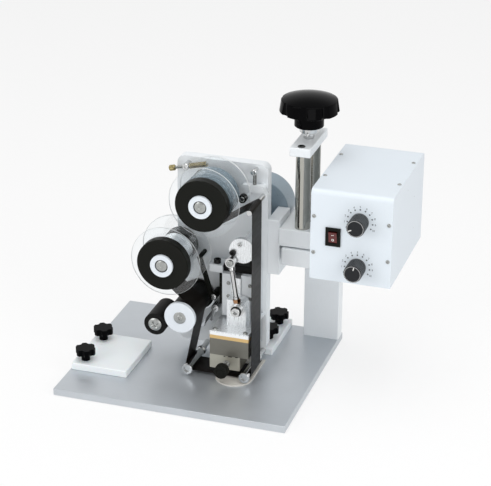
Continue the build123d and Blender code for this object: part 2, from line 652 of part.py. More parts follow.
def make_slide_and_rails():
    channel_front = RAIL_FRONT + LIP_THICK
    for name, side, outer in (("left_rail", -1, RAIL_LEFT), ("right_rail", 1, RAIL_RIGHT)):
        lip = SLIDE_X + side * (SLOT_HALF + BODY_GAP)
        web = SLIDE_X + side * (TONGUE_HALF + BODY_GAP)
        rail = block(*sorted((outer, lip)), RAIL_FRONT, PLATE_FRONT, RAIL_BOTTOM, RAIL_TOP)
        rail -= block(*sorted((lip, web)), channel_front, PLATE_FRONT, RAIL_BOTTOM, RAIL_TOP)
        keep(name, rail)
    bumper_top = RAIL_TOP + BUMPER_THICK
    bumper = block(
        RAIL_LEFT, RAIL_RIGHT, RAIL_FRONT + BUMPER_SETBACK, PLATE_FRONT, RAIL_TOP, bumper_top
    )
    keep("slide_bumper", chamfer(bumper.edges().filter_by(Axis.X), BASE_CHAMFER))

    slide_top = RAIL_TOP - SLIDE_SHORT
    slide_back = PLATE_FRONT - BODY_GAP
    slide_front = RAIL_FRONT - SLIDE_PROUD
    tongue_front = channel_front + BODY_GAP
    lug_back = ROD_BACK + BODY_GAP
    lug_top = ROD_FOOT[1] + ROD_FOOT_RADIUS
    left, right = SLIDE_X - SLOT_HALF, SLIDE_X + SLOT_HALF
    slide = block(
        SLIDE_X - TONGUE_HALF, SLIDE_X + TONGUE_HALF, tongue_front, slide_back, HEAD_PLATE_TOP, slide_top
    )
    slide += block(left, right, slide_front, tongue_front, HEAD_PLATE_TOP, slide_top)
    slide += block(
        left, ROD_FOOT[0] + ROD_FOOT_RADIUS, lug_back, slide_front, HEAD_PLATE_TOP, ROD_FOOT[1]
    )
    slide += cross(ROD_FOOT, lug_back, slide_front, ROD_FOOT_RADIUS)
    slide += block(left, ROD_FOOT[0], lug_back, slide_front, ROD_FOOT[1], lug_top)
    head_front = ROD_FRONT - BODY_GAP
    slide += cross(ROD_FOOT, head_front, lug_back, FOOT_BOLT_RADIUS)
    slide += cross(ROD_FOOT, head_front - FOOT_HEAD_THICK, head_front, FOOT_HEAD_RADIUS)
    plate_bottom = HEAD_PLATE_TOP - HEAD_PLATE_THICK
    slide += block(HEAD_LEFT, HEAD_RIGHT, HEAD_FRONT, slide_back, plate_bottom, HEAD_PLATE_TOP)
    keep("print_slide", slide)


def make_hot_head():
    head_back = HEAD_FRONT + HEAD_DEPTH
    top = HEAD_PLATE_TOP - HEAD_PLATE_THICK
    for name, thick in (
        ("insulator", INSULATOR_THICK),
        ("amber_plate", AMBER_THICK),
        ("heater_block", HEATER_HEIGHT),
    ):
        keep(name, block(HEAD_LEFT, HEAD_RIGHT, HEAD_FRONT, head_back, top - thick, top))
        top -= thick
    bottom = top - TYPE_HEIGHT
    holder = block(
        HEAD_LEFT, HEAD_LEFT + TYPE_LENGTH, HEAD_FRONT, HEAD_FRONT + TYPE_DEPTH, bottom, top
    )
    centre = (HEAD_LEFT + TYPE_KNOB_X, bottom + TYPE_KNOB_RISE)
    bore_back = HEAD_FRONT + TYPE_BORE_DEPTH
    holder -= cross(centre, HEAD_FRONT, bore_back, TYPE_SCREW_RADIUS + RUNNING_FIT)
    keep("type_holder", holder)
    stem_back = HEAD_FRONT - BODY_GAP
    knob_back = HEAD_FRONT - TYPE_STEM_LENGTH
    knob = cross(centre, knob_back - TYPE_KNOB_LENGTH, knob_back, TYPE_KNOB_RADIUS)
    knob += cross(centre, knob_back, stem_back, TYPE_STEM_RADIUS)
    knob += cross(centre, stem_back, bore_back - BODY_GAP, TYPE_SCREW_RADIUS)
    keep("type_knob", knob)


def make_feed_levers():
    block_right = RAIL_LEFT - FEED_BLOCK_GAP
    block_bottom = RAIL_TOP - FEED_BLOCK_DROP
    feed_block = block(
        block_right - FEED_BLOCK_LENGTH,
        block_right,
        RAIL_FRONT + FEED_SETBACK,
        PLATE_FRONT,
        block_bottom,
        block_bottom + FEED_BLOCK_HEIGHT,
    )
    keep("feed_block", chamfer(feed_block.edges(), BASE_CHAMFER))
    bar = block(
        block_right - FEED_BAR_WIDTH,
        block_right,
        RAIL_FRONT + FEED_SETBACK,
        PLATE_FRONT,
        block_bottom - FEED_BAR_LENGTH,
        block_bottom,
    )
    keep("feed_bar", bar)

    back = LEVER_FRONT + LEVER_THICK
    top, foot, pivot = (on_plate(*p) for p in (LEVER_TOP, LEVER_FOOT, LEVER_KNOB))
    lever = panel(hull_link(top, foot, LEVER_RADIUS), LEVER_FRONT, back)
    lever += panel(hull_link(foot, pivot, LEVER_RADIUS), LEVER_FRONT, back)
    lever += cross(pivot, LEVER_FRONT, PLATE_FRONT, LEVER_KNOB_RADIUS)
    lever += cross(top, back, PLATE_FRONT, LEVER_STUD_RADIUS)
    keep("feed_lever", lever)

    eye, long_tip, short_tip = (on_plate(*p) for p in (FORK_EYE, FORK_LONG_TIP, FORK_SHORT_TIP))
    fork = Pos(*eye) * Circle(FORK_EYE_RADIUS)
    fork += hull_link(eye, long_tip, FORK_PRONG_RADIUS)
    fork += hull_link(eye, short_tip, FORK_PRONG_RADIUS)
    fork += Pos(*long_tip) * Circle(FORK_TIP_RADIUS)
    fork = panel(fork, LEVER_FRONT, back) - cross(eye, LEVER_FRONT, back, FORK_HOLE_RADIUS)
    keep("fork_lever", fork + cross(eye, back, PLATE_FRONT, FORK_EYE_RADIUS))


def make_ribbon_guides():
    arm_front = PLATE_FRONT - GUIDE_STAND_OFF
    arm_back = arm_front + GUIDE_THICK
    pulley = from_edge(PULLEY_INSET, PULLEY_RISE)
    corner = from_edge(PULLEY_INSET, GUIDE_RISE)
    shoulder = from_edge(GUIDE_END, GUIDE_RISE)
    arm = panel(hull_link(pulley, corner, GUIDE_HALF), arm_front, arm_back)
    arm += panel(hull_link(corner, shoulder, GUIDE_HALF), arm_front, arm_back)
    arm += panel(hull_link(shoulder, UPPER_PIN, GUIDE_HALF), arm_front, arm_back)
    arm += cross(pulley, arm_back, PLATE_FRONT, GUIDE_HALF)
    arm += cross(shoulder, arm_back, PLATE_FRONT, GUIDE_HALF)
    arm -= cross(UPPER_PIN, arm_front, PLATE_FRONT, UPPER_PIN_RADIUS + RUNNING_FIT)
    keep("guide_arm", arm)
    keep("guide_pulley", cross(pulley, arm_front - PULLEY_LENGTH, arm_front, PULLEY_RADIUS))

    hook = from_edge(SPRING_INSET, SPRING_RISE)
    spring_y = (arm_front + arm_back) / 2
    spring_bottom = corner[1] + GUIDE_HALF
    post_front = arm_front - BODY_GAP
    post = cross(hook, post_front, PLATE_FRONT, POST_RADIUS)
    post += cross(hook, post_front - POST_HEAD_THICK, post_front, POST_HEAD_RADIUS)
    spring = upright(hook[0], spring_y, spring_bottom, hook[1], SPRING_RADIUS)
    keep("guide_spring", post + spring)

    tip, end = below_top(*BRAKE_TIP), below_top(*BRAKE_END)
    along = Vector(end[0] - tip[0], 0, end[1] - tip[1])
    brake_y = PLATE_FRONT - BRAKE_STAND_OFF
    axis = Plane(origin=(tip[0], brake_y, tip[1]), z_dir=along.normalized())
    length = along.length
    sleeve_start = length - BRAKE_SLEEVE_LENGTH
    screw = axis * Pos(0, 0, length / 2) * Cylinder(BRAKE_RADIUS, length)
    screw += axis * Pos(0, 0, BRAKE_NUT_LENGTH / 2) * Cylinder(BRAKE_NUT_RADIUS, BRAKE_NUT_LENGTH)
    middle = axis * Pos(0, 0, sleeve_start + BRAKE_SLEEVE_LENGTH / 2)
    screw += middle * Cylinder(BRAKE_SLEEVE_RADIUS, BRAKE_SLEEVE_LENGTH)
    foot = along.normalized() * (sleeve_start - BRAKE_POST_RADIUS)
    screw += cross((tip[0] + foot.X, tip[1] + foot.Z), brake_y, PLATE_FRONT, BRAKE_POST_RADIUS)
    keep("brake_screw", screw)


def make_control_box():
    height = BOX_TOP - BOX_BOTTOM
    depth = BOX_BACK - BOX_FRONT
    skin = BOX_FRONT + BOX_SHEET
    side = Plane(origin=(RIGHT, 0, 0), x_dir=(0, 1, 0), z_dir=(1, 0, 0))
    centre = Pos((BOX_FRONT + BOX_BACK) / 2, (BOX_BOTTOM + BOX_TOP) / 2)
    outer = Rectangle(depth, height)
    outer = fillet(outer.vertices().group_by(Axis.Y)[-1], BOX_BEND)
    inner = Pos(0, -BOX_SHEET / 2) * Rectangle(depth - 2 * BOX_SHEET, height - BOX_SHEET)
    inner = fillet(inner.vertices().group_by(Axis.Y)[-1], BOX_BEND - BOX_SHEET)
    cover = extrude(side * (centre * (outer - inner)), BOX_WIDTH)
    for point in (UPPER_DIAL, LOWER_DIAL):
        cover -= cross(point, BOX_FRONT, skin, DIAL_SHAFT_RADIUS + RUNNING_FIT)
    x, z = SWITCH
    w, h = SWITCH_WIDTH / 2, SWITCH_HEIGHT / 2
    hole_w, hole_h = w - SWITCH_WALL, h - SWITCH_WALL
    cover -= block(x - hole_w, x + hole_w, BOX_FRONT, skin, z - hole_h, z + hole_h)
    keep("box_cover", cover)
    chassis = extrude(side * (centre * inner), BOX_WIDTH)
    chassis -= block(
        RIGHT + BOX_SHEET,
        RIGHT + BOX_WIDTH - BOX_SHEET,
        BOX_FRONT,
        BOX_BACK,
        BOX_BOTTOM + BOX_SHEET,
        BOX_TOP,
    )
    keep("box_chassis", chassis)

    for name, point in (("upper_dial", UPPER_DIAL), ("lower_dial", LOWER_DIAL)):
        dial_back = BOX_FRONT - BODY_GAP
        dial = cross(point, BOX_FRONT - DIAL_LENGTH, dial_back, DIAL_RADIUS)
        dial += cross(point, dial_back, skin + DIAL_SHAFT_INNER, DIAL_SHAFT_RADIUS)
        keep(name, dial)

    lip = BOX_FRONT - SWITCH_LIP
    bezel = block(x - w, x + w, lip, BOX_FRONT, z - h, z + h)
    fit_w, fit_h = hole_w - RUNNING_FIT, hole_h - RUNNING_FIT
    bezel += block(
        x - fit_w, x + fit_w, BOX_FRONT, BOX_FRONT + SWITCH_BODY_DEPTH, z - fit_h, z + fit_h
    )
    pocket_w, pocket_h = hole_w - SWITCH_WALL, hole_h - SWITCH_WALL
    bezel -= block(
        x - pocket_w, x + pocket_w, lip, BOX_FRONT + SWITCH_POCKET_DEPTH, z - pocket_h, z + pocket_h
    )
    keep("switch_bezel", bezel)
    half = pocket_h - ROCKER_CLEARANCE
    root = BOX_FRONT + ROCKER_ROOT
    profile = Polyline(
        (lip - ROCKER_PROUD, z + half - ROCKER_TAPER),
        (lip - ROCKER_DIP, z),
        (lip + ROCKER_DIP, z - half + ROCKER_TAPER),
        (root, z - half + ROCKER_TAPER),
        (root, z + half - ROCKER_LEAN),
        close=True,
    )
    across = Plane(origin=(x, 0, 0), x_dir=(0, 1, 0), z_dir=(1, 0, 0))
    keep("switch_rocker", extrude(across * make_face(profile), pocket_w - BODY_GAP, both=True))


def make_base_fittings():
    star = lobed(CLAMP_RADIUS, CLAMP_LOBES, CLAMP_FLUTE_RADIUS, CLAMP_FLUTE_DEPTH, CLAMP_SOFT)
    star = Pos(0, 0, CLAMP_STEM_HEIGHT) * extrude(star, CLAMP_HEIGHT)
    stem = upright(0, 0, 0, CLAMP_STEM_HEIGHT, CLAMP_STEM_RADIUS)
    left_corner = (LEFT + LEFT_BLOCK_INSET, FRONT + LEFT_BLOCK_SETBACK)
    right_corner = (MOUNT_LEFT - RIGHT_BLOCK_INSET, PLATE_FRONT + RIGHT_BLOCK_SETBACK)
    clamps = []
    for name, (x, y), inset, pitch in (
        ("left_guide_block", left_corner, CLAMP_INSET, LEFT_CLAMP_PITCH),
        ("right_guide_block", right_corner, BLOCK_LENGTH - CLAMP_INSET, RIGHT_CLAMP_PITCH),
    ):
        top = BASE_THICK + BLOCK_THICK
        guide = block(x, x + BLOCK_LENGTH, y, y + BLOCK_DEPTH, BASE_THICK, top)
        keep(name, chamfer(guide.edges(), BASE_CHAMFER))
        for along in (CLAMP_REAR - pitch, CLAMP_REAR):
            clamps.append(Pos(x + inset, y + along, top) * (stem + star))
    keep("clamp_knobs", Compound(clamps))

    half = PAD_WIDTH / 2
    pad_x = HEAD_LEFT + PAD_OFFSET
    pad_front = HEAD_FRONT - PAD_REACH
    outline = Pos(pad_x, pad_front + half) * Circle(half)
    outline += Pos(pad_x, pad_front + (half + PAD_LENGTH) / 2) * Rectangle(PAD_WIDTH, PAD_LENGTH - half)
    keep("print_pad", Pos(0, 0, BASE_THICK) * extrude(outline, PAD_THICK))


make_frame()
make_lift_screw()
make_head_frame()
make_spool("supply", SUPPLY, SUPPLY_ROLL_RADIUS, SUPPLY_CLUTCH_RADIUS)
make_spool("takeup", TAKEUP, TAKEUP_ROLL_RADIUS, TAKEUP_CLUTCH_RADIUS)
make_rollers()
make_pins()
make_ribbon()
make_crank_and_rod()
make_slide_and_rails()
make_hot_head()
make_feed_levers()
make_ribbon_guides()
make_control_box()
make_base_fittings()

os.makedirs("parts", exist_ok=True)
for name, solid in NODES.items():
    export_step(solid, f"parts/{name}.step")
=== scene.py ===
"""Looks for a desktop ribbon date coding machine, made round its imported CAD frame."""
from math import atan2, cos, pi, radians, sin

import bmesh
import bpy
from mathutils import Matrix, Vector


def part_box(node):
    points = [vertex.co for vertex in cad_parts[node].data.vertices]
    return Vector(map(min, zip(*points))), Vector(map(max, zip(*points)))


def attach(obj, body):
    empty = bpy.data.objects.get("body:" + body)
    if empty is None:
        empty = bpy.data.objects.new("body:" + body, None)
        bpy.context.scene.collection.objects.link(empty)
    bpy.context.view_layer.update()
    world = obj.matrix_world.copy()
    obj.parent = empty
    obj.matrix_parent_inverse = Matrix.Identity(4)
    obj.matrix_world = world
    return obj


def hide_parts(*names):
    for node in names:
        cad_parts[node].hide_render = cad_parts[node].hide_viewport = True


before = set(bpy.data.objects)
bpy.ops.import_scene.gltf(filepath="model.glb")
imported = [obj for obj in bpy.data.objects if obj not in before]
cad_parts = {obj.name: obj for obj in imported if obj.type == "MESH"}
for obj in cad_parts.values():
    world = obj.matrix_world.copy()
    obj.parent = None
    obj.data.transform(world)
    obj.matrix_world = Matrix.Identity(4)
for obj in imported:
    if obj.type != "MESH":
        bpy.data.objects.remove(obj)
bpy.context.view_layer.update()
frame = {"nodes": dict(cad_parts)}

bl_info = {
    "name": "Ribbon date coder",
    "version": (1, 0, 0),
    "blender": (4, 5, 0),
    "location": "View3D > Sidebar > Coder",
    "description": "Finishes, fasteners, marks and stage for a desktop ribbon date coding machine",
    "category": "Object",
}

MM = 0.001
NODES = frame["nodes"]
VIEWER = (0, -1, 0)
UP = (0, 0, 1)
DOWN = (0, 0, -1)
RIGHT = (1, 0, 0)
BACK = (0, 1, 0)
BROAD = (38, 38, 38)  # millimetres between worn patches
FINISH = {}


def rgba(text):
    """An sRGB hex colour as linear RGBA."""
    values = [int(text[i : i + 2], 16) / 255 for i in (0, 2, 4)]
    linear = [c / 12.92 if c <= 0.04045 else ((c + 0.055) / 1.055) ** 2.4 for c in values]
    return (*linear, 1.0)


def colour(name, description, text):
    value = rgba(text)
    return bpy.props.FloatVectorProperty(
        name=name, description=description, subtype="COLOR", size=4, min=0, max=1, default=value
    )


def length(name, description, mm):
    return bpy.props.FloatProperty(
        name=name, description=description, unit="LENGTH", min=0, default=mm * MM
    )


class CoderColours(bpy.types.PropertyGroup):
    """Colours of the machine's main finishes."""

    base: colour("Base plate", "Brushed aluminium of the base plate", "C3C8CD")
    frame: colour("Frame", "Anodised aluminium of the column, carriage and plates", "E8ECEF")
    box: colour("Control box", "Powder coat of the control box", "D8E0E7")
    grips: colour("Grips", "Black moulded handwheel and clamp knobs", "050506")
    caps: colour("Spool caps", "Black moulded spool caps and dials", "161714")
    ribbon: colour("Ribbon", "Coding ribbon off the supply spool", "171412")
    # The wound roll's blue-grey is a painted sheen on the same dark film as the ribbon.
    foil: colour("Wound foil", "Edge and outside of the wound supply roll", "74858F")
    blocks: colour("Guide blocks", "Nylon of the guide blocks", "E9EEF0")
    rocker: colour("Rocker", "Translucent rocker of the power switch", "560C09")


class CoderSizes(bpy.types.PropertyGroup):
    """Sizes of the machine's fine pieces."""

    thread_pitch: length("Thread pitch", "Lead of the lift screw's thread", 3.0)
    thread_depth: length("Thread depth", "Depth of the lift screw's thread", 0.9)
    tick_ring: length("Tick ring", "Radius of the dots round a dial", 16.5)
    tick_dot: length("Tick dot", "Radius of one dot round a dial", 1.05)
    number_ring: length("Number ring", "Radius of the numerals round a dial", 20.2)


# Materials


def add(tree, kind, inputs=None, **settings):
    """A shader node with its settings made and its inputs set or linked."""
    node = tree.nodes.new("ShaderNode" + kind)
    for key, value in settings.items():
        setattr(node, key, value)
    for key, value in (inputs or {}).items():
        if isinstance(value, bpy.types.NodeSocket):
            tree.links.new(value, node.inputs[key])
        else:
            node.inputs[key].default_value = value
    return node


def pattern(tree, grain, kind="TexNoise", **settings):
    """A texture whose features are about grain millimetres long on each axis."""
    where = add(tree, "TexCoord").outputs["Object"]
    scale = add(tree, "Mapping", {"Vector": where, "Scale": [1 / (g * MM) for g in grain]})
    return add(tree, kind, {"Vector": scale.outputs["Vector"], "Scale": 1.0, **settings})


def make_finish(name, base, grain=(2, 2, 2), shade=0.0, gloss=0.0, relief=0.0, wear=0.0, **sockets):
    """A Principled material. shade, gloss and relief (mm) say how far the grain changes the
    colour, the roughness and the surface, and wear lightens and dulls it in broad patches."""
    material = bpy.data.materials.new(name)
    material.use_nodes = True
    tree = material.node_tree
    shader = tree.nodes["Principled BSDF"]
    shader.inputs["Base Color"].default_value = base
    for key, value in sockets.items():
        shader.inputs[key.replace("_", " ")].default_value = value
    fine = pattern(tree, grain, Detail=3.0).outputs["Fac"]
    if shade or wear:
        broad = pattern(tree, BROAD, Detail=4.0).outputs["Fac"]
        amount = add(tree, "Math", {0: fine, 1: 0.5}, operation="SUBTRACT").outputs[0]
        amount = add(tree, "Math", {0: amount, 1: 2 * shade}, operation="MULTIPLY").outputs[0]
        patch = add(tree, "Math", {0: broad, 1: 0.5}, operation="SUBTRACT").outputs[0]
        amount = add(
            tree, "Math", {0: patch, 1: 2 * wear, 2: amount}, operation="MULTIPLY_ADD"
        ).outputs[0]
        value = add(tree, "Math", {0: amount, 1: 1.0}, operation="ADD").outputs[0]
        tinted = add(tree, "HueSaturation", {"Color": base, "Value": value})
        tree.links.new(tinted.outputs["Color"], shader.inputs["Base Color"])
    if gloss:
        rough = sockets.get("Roughness", 0.5)
        limits = {"To Min": rough - gloss, "To Max": rough + gloss}
        spread = add(tree, "MapRange", {"Value": fine, "From Min": 0.3, "From Max": 0.7, **limits})
        tree.links.new(spread.outputs["Result"], shader.inputs["Roughness"])
    if relief:
        bump = add(tree, "Bump", {"Height": fine, "Strength": 1.0, "Distance": relief * MM})
        tree.links.new(bump.outputs["Normal"], shader.inputs["Normal"])
    FINISH[name] = material
    return tree, shader


def make_finishes(colours):
    # Aluminium plate, brushed and clear anodised: long fine lines and a soft streaked gloss.
    # The real lines are 0.1 mm apart and are drawn 0.9 mm apart so that they show.
    make_finish(
        "brushed_anodised_aluminium", colours.base, (95, 0.9, 0.9), 0.08, 0.08, 0.004, 0.05,
        Metallic=0.68, Roughness=0.42, Anisotropic=0.4,
    )
    # Aluminium bar, milled and clear anodised: pale, with an even silky sheen.
    make_finish(
        "milled_anodised_aluminium", colours.frame, (1.4, 1.4, 9), 0.03, 0.06, 0.004, 0.03,
        Metallic=0.1, Roughness=0.44,
    )
    # Centreless-ground shafting: bright, with fine rings round the rod.
    make_finish(
        "ground_shaft_steel", rgba("B0AFA8"), (30, 30, 0.5), 0.05, 0.04, 0.001,
        Metallic=1.0, Roughness=0.13,
    )
    # Rolled thread, lightly oiled: darker steel with grease in its grooves.
    make_finish(
        "oiled_thread_steel", rgba("8A867C"), (3, 3, 1), 0.15, 0.08, Metallic=1.0, Roughness=0.3
    )
    # Turned steel with nickel plate: nearly a mirror, a little warm.
    make_finish(
        "nickel_plated_steel", rgba("C9CACA"), (6, 6, 6), 0.03, 0.04, 0.0006,
        Metallic=1.0, Roughness=0.15,
    )
    # Zinc-plated fasteners: grey metal, slightly dull.
    make_finish(
        "zinc_plated_steel", rgba("A9ABA9"), (1, 1, 1), 0.08, 0.08, Metallic=1.0, Roughness=0.3
    )
    # Black-oxide socket screws: near black with a faint metal gleam.
    make_finish(
        "black_oxide_steel", rgba("2B2C2B"), (1, 1, 1), 0.1, 0.08, Metallic=0.8, Roughness=0.36
    )
    # Phenolic, compression moulded and polished: deep black with a clear gloss.
    make_finish(
        "moulded_phenolic", colours.grips, (5, 5, 5), 0.1, 0.02, 0.002,
        IOR=1.6, Roughness=0.1, Specular_IOR_Level=0.03,
    )
    # ABS, moulded with a fine spark texture: black with a soft broad highlight.
    make_finish(
        "moulded_abs", colours.caps, (0.6, 0.6, 0.6), 0.12, 0.06, 0.012,
        IOR=1.53, Roughness=0.42, Specular_IOR_Level=0.08,
    )
    # ABS, moulded and polished on the dials' flutes: black with narrow grey gleams.
    make_finish(
        "polished_abs", rgba("1B1D1F"), (0.6, 0.6, 0.6), 0.1, 0.04, IOR=1.53, Roughness=0.2
    )
    # Nitrile rubber, ground after moulding: dull black.
    make_finish(
        "ground_nitrile_rubber", rgba("131312"), (0.8, 0.8, 0.8), 0.1, 0.05, 0.006,
        IOR=1.52, Roughness=0.55, Specular_IOR_Level=0.12,
    )
    # Nylon bar, milled: milky white with shallow cutter lines.
    make_finish(
        "milled_nylon", colours.blocks, (2, 26, 26), 0.015, 0.05, 0.01, 0.01,
        IOR=1.53, Roughness=0.48, Subsurface_Weight=0.08, Subsurface_Scale=0.004,
    )
    # Acetal, turned: dense white with a waxy sheen.
    make_finish(
        "turned_acetal", rgba("DAE0E6"), (1, 1, 1), 0.02, 0.05, 0.006, IOR=1.48, Roughness=0.36
    )
    # Cast acrylic sheet: clear, faintly cool, seen by its edges and glints.
    make_finish(
        "cast_acrylic", rgba("FAFCFD"), (20, 20, 20),
        IOR=1.49, Roughness=0.0, Transmission_Weight=1.0,
    )
    # The acrylic discs' sawn edges: fine saw lines scatter the light, and their pale colour is also
    # a painted highlight along the edge.
    make_finish(
        "sawn_acrylic_painted_highlight", rgba("EEF2F3"), (0.4, 3, 0.4), 0.04,
        IOR=1.49, Roughness=0.5, Transmission_Weight=0.25,
    )
    # Polyester coding ribbon with a wax ink: brown black with a satin streak.
    make_finish(
        "coated_polyester_ribbon", colours.ribbon, (30, 30, 1.6), 0.12, 0.06, 0.004,
        IOR=1.6, Roughness=0.34, Specular_IOR_Level=0.06,
    )
    # The same film wound tight: its blue-grey colour and metal are a painted sheen on the dark
    # film, with fine wound lines.
    make_finish(
        "wound_film_painted_sheen", colours.foil, (9, 0.7, 9), 0.16, 0.08, 0.01,
        Metallic=0.55, Roughness=0.26,
    )
    # Cotton phenolic board: amber with woven layers at its edge.
    make_finish(
        "phenolic_board", rgba("CFAE74"), (8, 8, 0.8), 0.10, 0.06, 0.01, IOR=1.55, Roughness=0.5
    )
    # Alkaline glass-mica insulator: chalk white.
    make_finish(
        "mica_insulator", rgba("EDEFF0"), (1.5, 1.5, 1.5), 0.03, 0.05, 0.01,
        IOR=1.55, Roughness=0.55,
    )
    # Brass heater block, milled and heat stained: dull grey-brown metal.
    make_finish(
        "heat_stained_brass", rgba("7C7A72"), (7, 7, 1.2), 0.12, 0.09, 0.006, 0.08,
        Metallic=0.75, Roughness=0.42,
    )
    # Tool steel, ground: dark warm grey.
    make_finish(
        "ground_tool_steel", rgba("B5B2A5"), (9, 9, 0.9), 0.10, 0.08, 0.005, 0.06,
        Metallic=0.7, Roughness=0.4,
    )
    # Silicone pad: pale warm grey, soft and dull.
    make_finish(
        "silicone_pad", rgba("C9C6BF"), (1, 1, 1), 0.05, 0.04, 0.01, IOR=1.41, Roughness=0.6
    )
    # Epoxy powder coat on steel sheet: pale blue-white with a faint orange peel.
    make_finish(
        "powder_coated_steel", colours.box, (1.8, 1.8, 1.8), 0.012, 0.03, 0.012, 0.012,
        IOR=1.52, Roughness=0.4,
    )
    # Painted motor can: blue-grey satin.
    make_finish(
        "painted_motor_steel", rgba("8F9FAA"), (2, 2, 2), 0.04, 0.05, 0.004,
        IOR=1.5, Metallic=0.25, Roughness=0.32,
    )
    # Polycarbonate rocker, lit from behind when on: dark ruby.
    make_finish(
        "tinted_polycarbonate", colours.rocker, (2, 2, 2), 0.04, 0.02, IOR=1.58, Roughness=0.18
    )
    # Turned brass: warm yellow metal, a little tarnished.
    make_finish(
        "turned_brass", rgba("A0946C"), (3, 3, 0.6), 0.12, 0.06, Metallic=1.0, Roughness=0.26
    )
    # Turned aluminium dial insert, black anodised: dark, with a streak across its fine rings.
    tree, shader = make_finish(
        "turned_dark_aluminium", rgba("333436"), (0.5, 0.5, 0.5), 0.05,
        Metallic=1.0, Roughness=0.22, Anisotropic=0.95,
    )
    rings = add(tree, "Tangent", direction_type="RADIAL", axis="Z")
    tree.links.new(rings.outputs["Tangent"], shader.inputs["Tangent"])
    # Steel bar, ground and left bright: even grey metal with fine lines down its length.
    make_finish(
        "ground_bar_steel", rgba("ECEFF1"), (0.6, 0.6, 12), 0.06, 0.06, 0.002,
        Metallic=0.6, Roughness=0.3,
    )
    # The used ribbon wound on its core: dark film, given a pale silver metal colour as a painted
    # highlight for the shine along its rounded top.
    make_finish(
        "wound_ribbon_painted_shine", rgba("E4E8EA"), (9, 0.7, 9), 0.2, 0.06, 0.008,
        Metallic=0.85, Roughness=0.24,
    )
    # Spring wire, drawn and phosphate grey: dark metal with a thin gleam.
    make_finish(
        "drawn_spring_wire", rgba("8B8C8A"), (1, 1, 1), 0.08, 0.05, Metallic=1.0, Roughness=0.25
    )
    # Copper-washed nut: pinkish brown metal.
    make_finish(
        "copper_washed_steel", rgba("A9805F"), (2, 2, 2), 0.15, 0.08, Metallic=1.0, Roughness=0.3
    )
    # Printing ink on the panel and paint in the knob's mark.
    make_finish("panel_ink", rgba("39434B"), (0.5, 0.5, 0.5), 0.05, Roughness=0.5)
    make_finish("white_paint", rgba("E8E8E4"), (0.5, 0.5, 0.5), 0.03, Roughness=0.5)


NODE_FINISH = {
    "brushed_anodised_aluminium": ("base_plate",),
    "milled_anodised_aluminium": (
        "column", "rod_seat", "top_bracket", "carriage", "mount_block", "main_plate",
        "left_rail", "right_rail", "roller_arm", "feed_block", "guide_arm",
    ),
    "ground_shaft_steel": ("front_rod", "rear_rod"),
    "nickel_plated_steel": (
        "upper_guide_pin", "lower_left_pin", "lower_right_pin", "connecting_rod", "fork_lever",
        "guide_spring",
    ),
    "ground_bar_steel": ("print_slide", "crank_disc"),
    # The take-up roll's pale colour is a painted highlight on dark film.
    "wound_ribbon_painted_shine": ("takeup_ribbon",),
    "moulded_phenolic": ("handwheel", "clamp_knobs"),
    "moulded_abs": (
        "supply_cap", "takeup_cap", "switch_bezel", "type_knob", "upper_dial", "lower_dial",
        "feed_bar", "feed_lever", "guide_pulley",
    ),
    "ground_nitrile_rubber": ("feed_drum", "pinch_roller", "slide_bumper"),
    "turned_brass": ("brake_screw",),
    "milled_nylon": ("left_guide_block", "right_guide_block"),
    "turned_acetal": ("supply_hub", "takeup_hub", "feed_disc"),
    "cast_acrylic": (
        "supply_front_disc", "supply_rear_disc", "takeup_front_disc", "takeup_rear_disc",
    ),
    "coated_polyester_ribbon": ("ribbon",),
    "wound_film_painted_sheen": ("supply_ribbon",),
    "phenolic_board": ("amber_plate",),
    "mica_insulator": ("insulator",),
    "heat_stained_brass": ("heater_block",),
    "ground_tool_steel": ("type_holder",),
    "silicone_pad": ("print_pad",),
    "powder_coated_steel": ("box_cover", "box_chassis"),
    "painted_motor_steel": ("drive_motor", "motor_gearbox"),
    "tinted_polycarbonate": ("switch_rocker",),
}


# Shapes: a ring is an outline, a radius or a function of the turn, at a height, in millimetres
FAR = 500.0  # where the lines that look for a face start
INK_THICK = 0.08
EM_PER_NUMERAL = 1.4  # a numeral is 0.7 of its type's size


def hexagon(flats):
    """A hexagon's outline, by the distance across its flats."""
    return lambda turn: flats / 2 / cos((turn + pi / 6) % (pi / 3) - pi / 6)


def cross_slot(reach, width):
    """A cross recess's outline."""

    def outline(turn):
        c, s = abs(cos(turn)), abs(sin(turn))
        return min(reach / max(c, s), width / 2 / max(min(c, s), 1e-6))

    return outline


def fluted(radius, depth, count):
    """A grip's outline with round flutes."""
    return lambda turn: radius - depth * (0.5 - 0.5 * cos(count * turn))


def turned(name, rings, steps=48):
    """A closed piece made of rings along its own +Z."""
    mesh = bmesh.new()
    loops = []
    for outline, height in rings:
        reach = outline if callable(outline) else lambda turn, r=outline: r
        loop = []
        for i in range(steps):
            turn = 2 * pi * i / steps
            r = reach(turn) * MM
            loop.append(mesh.verts.new((r * cos(turn), r * sin(turn), height * MM)))
        loops.append(loop)
    for low, high in zip(loops, loops[1:]):
        for i in range(steps):
            j = (i + 1) % steps
            mesh.faces.new((low[i], low[j], high[j], high[i]))
    mesh.faces.new(list(reversed(loops[0])))
    mesh.faces.new(loops[-1])
    return finish_mesh(name, mesh)


def finish_mesh(name, mesh, angle=34):
    bmesh.ops.recalc_face_normals(mesh, faces=mesh.faces)
    data = bpy.data.meshes.new(name)
    mesh.to_mesh(data)
    mesh.free()
    data.polygons.foreach_set("use_smooth", [True] * len(data.polygons))
    data.set_sharp_from_angle(angle=radians(angle))
    piece = bpy.data.objects.new(name, data)
    bpy.context.scene.collection.objects.link(piece)
    return piece


def set_on(piece, point, facing, body, finish, spin=0.0):
    """Puts a piece's origin at a point in millimetres, its +Z along facing, on a body."""
    turn = Vector(facing).to_track_quat("Z", "Y").to_matrix().to_4x4()
    place = Matrix.Translation(Vector(point) * MM)
    piece.matrix_world = place @ turn @ Matrix.Rotation(spin, 4, "Z")
    piece.data.materials.append(FINISH[finish])
    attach(piece, body)
    return piece


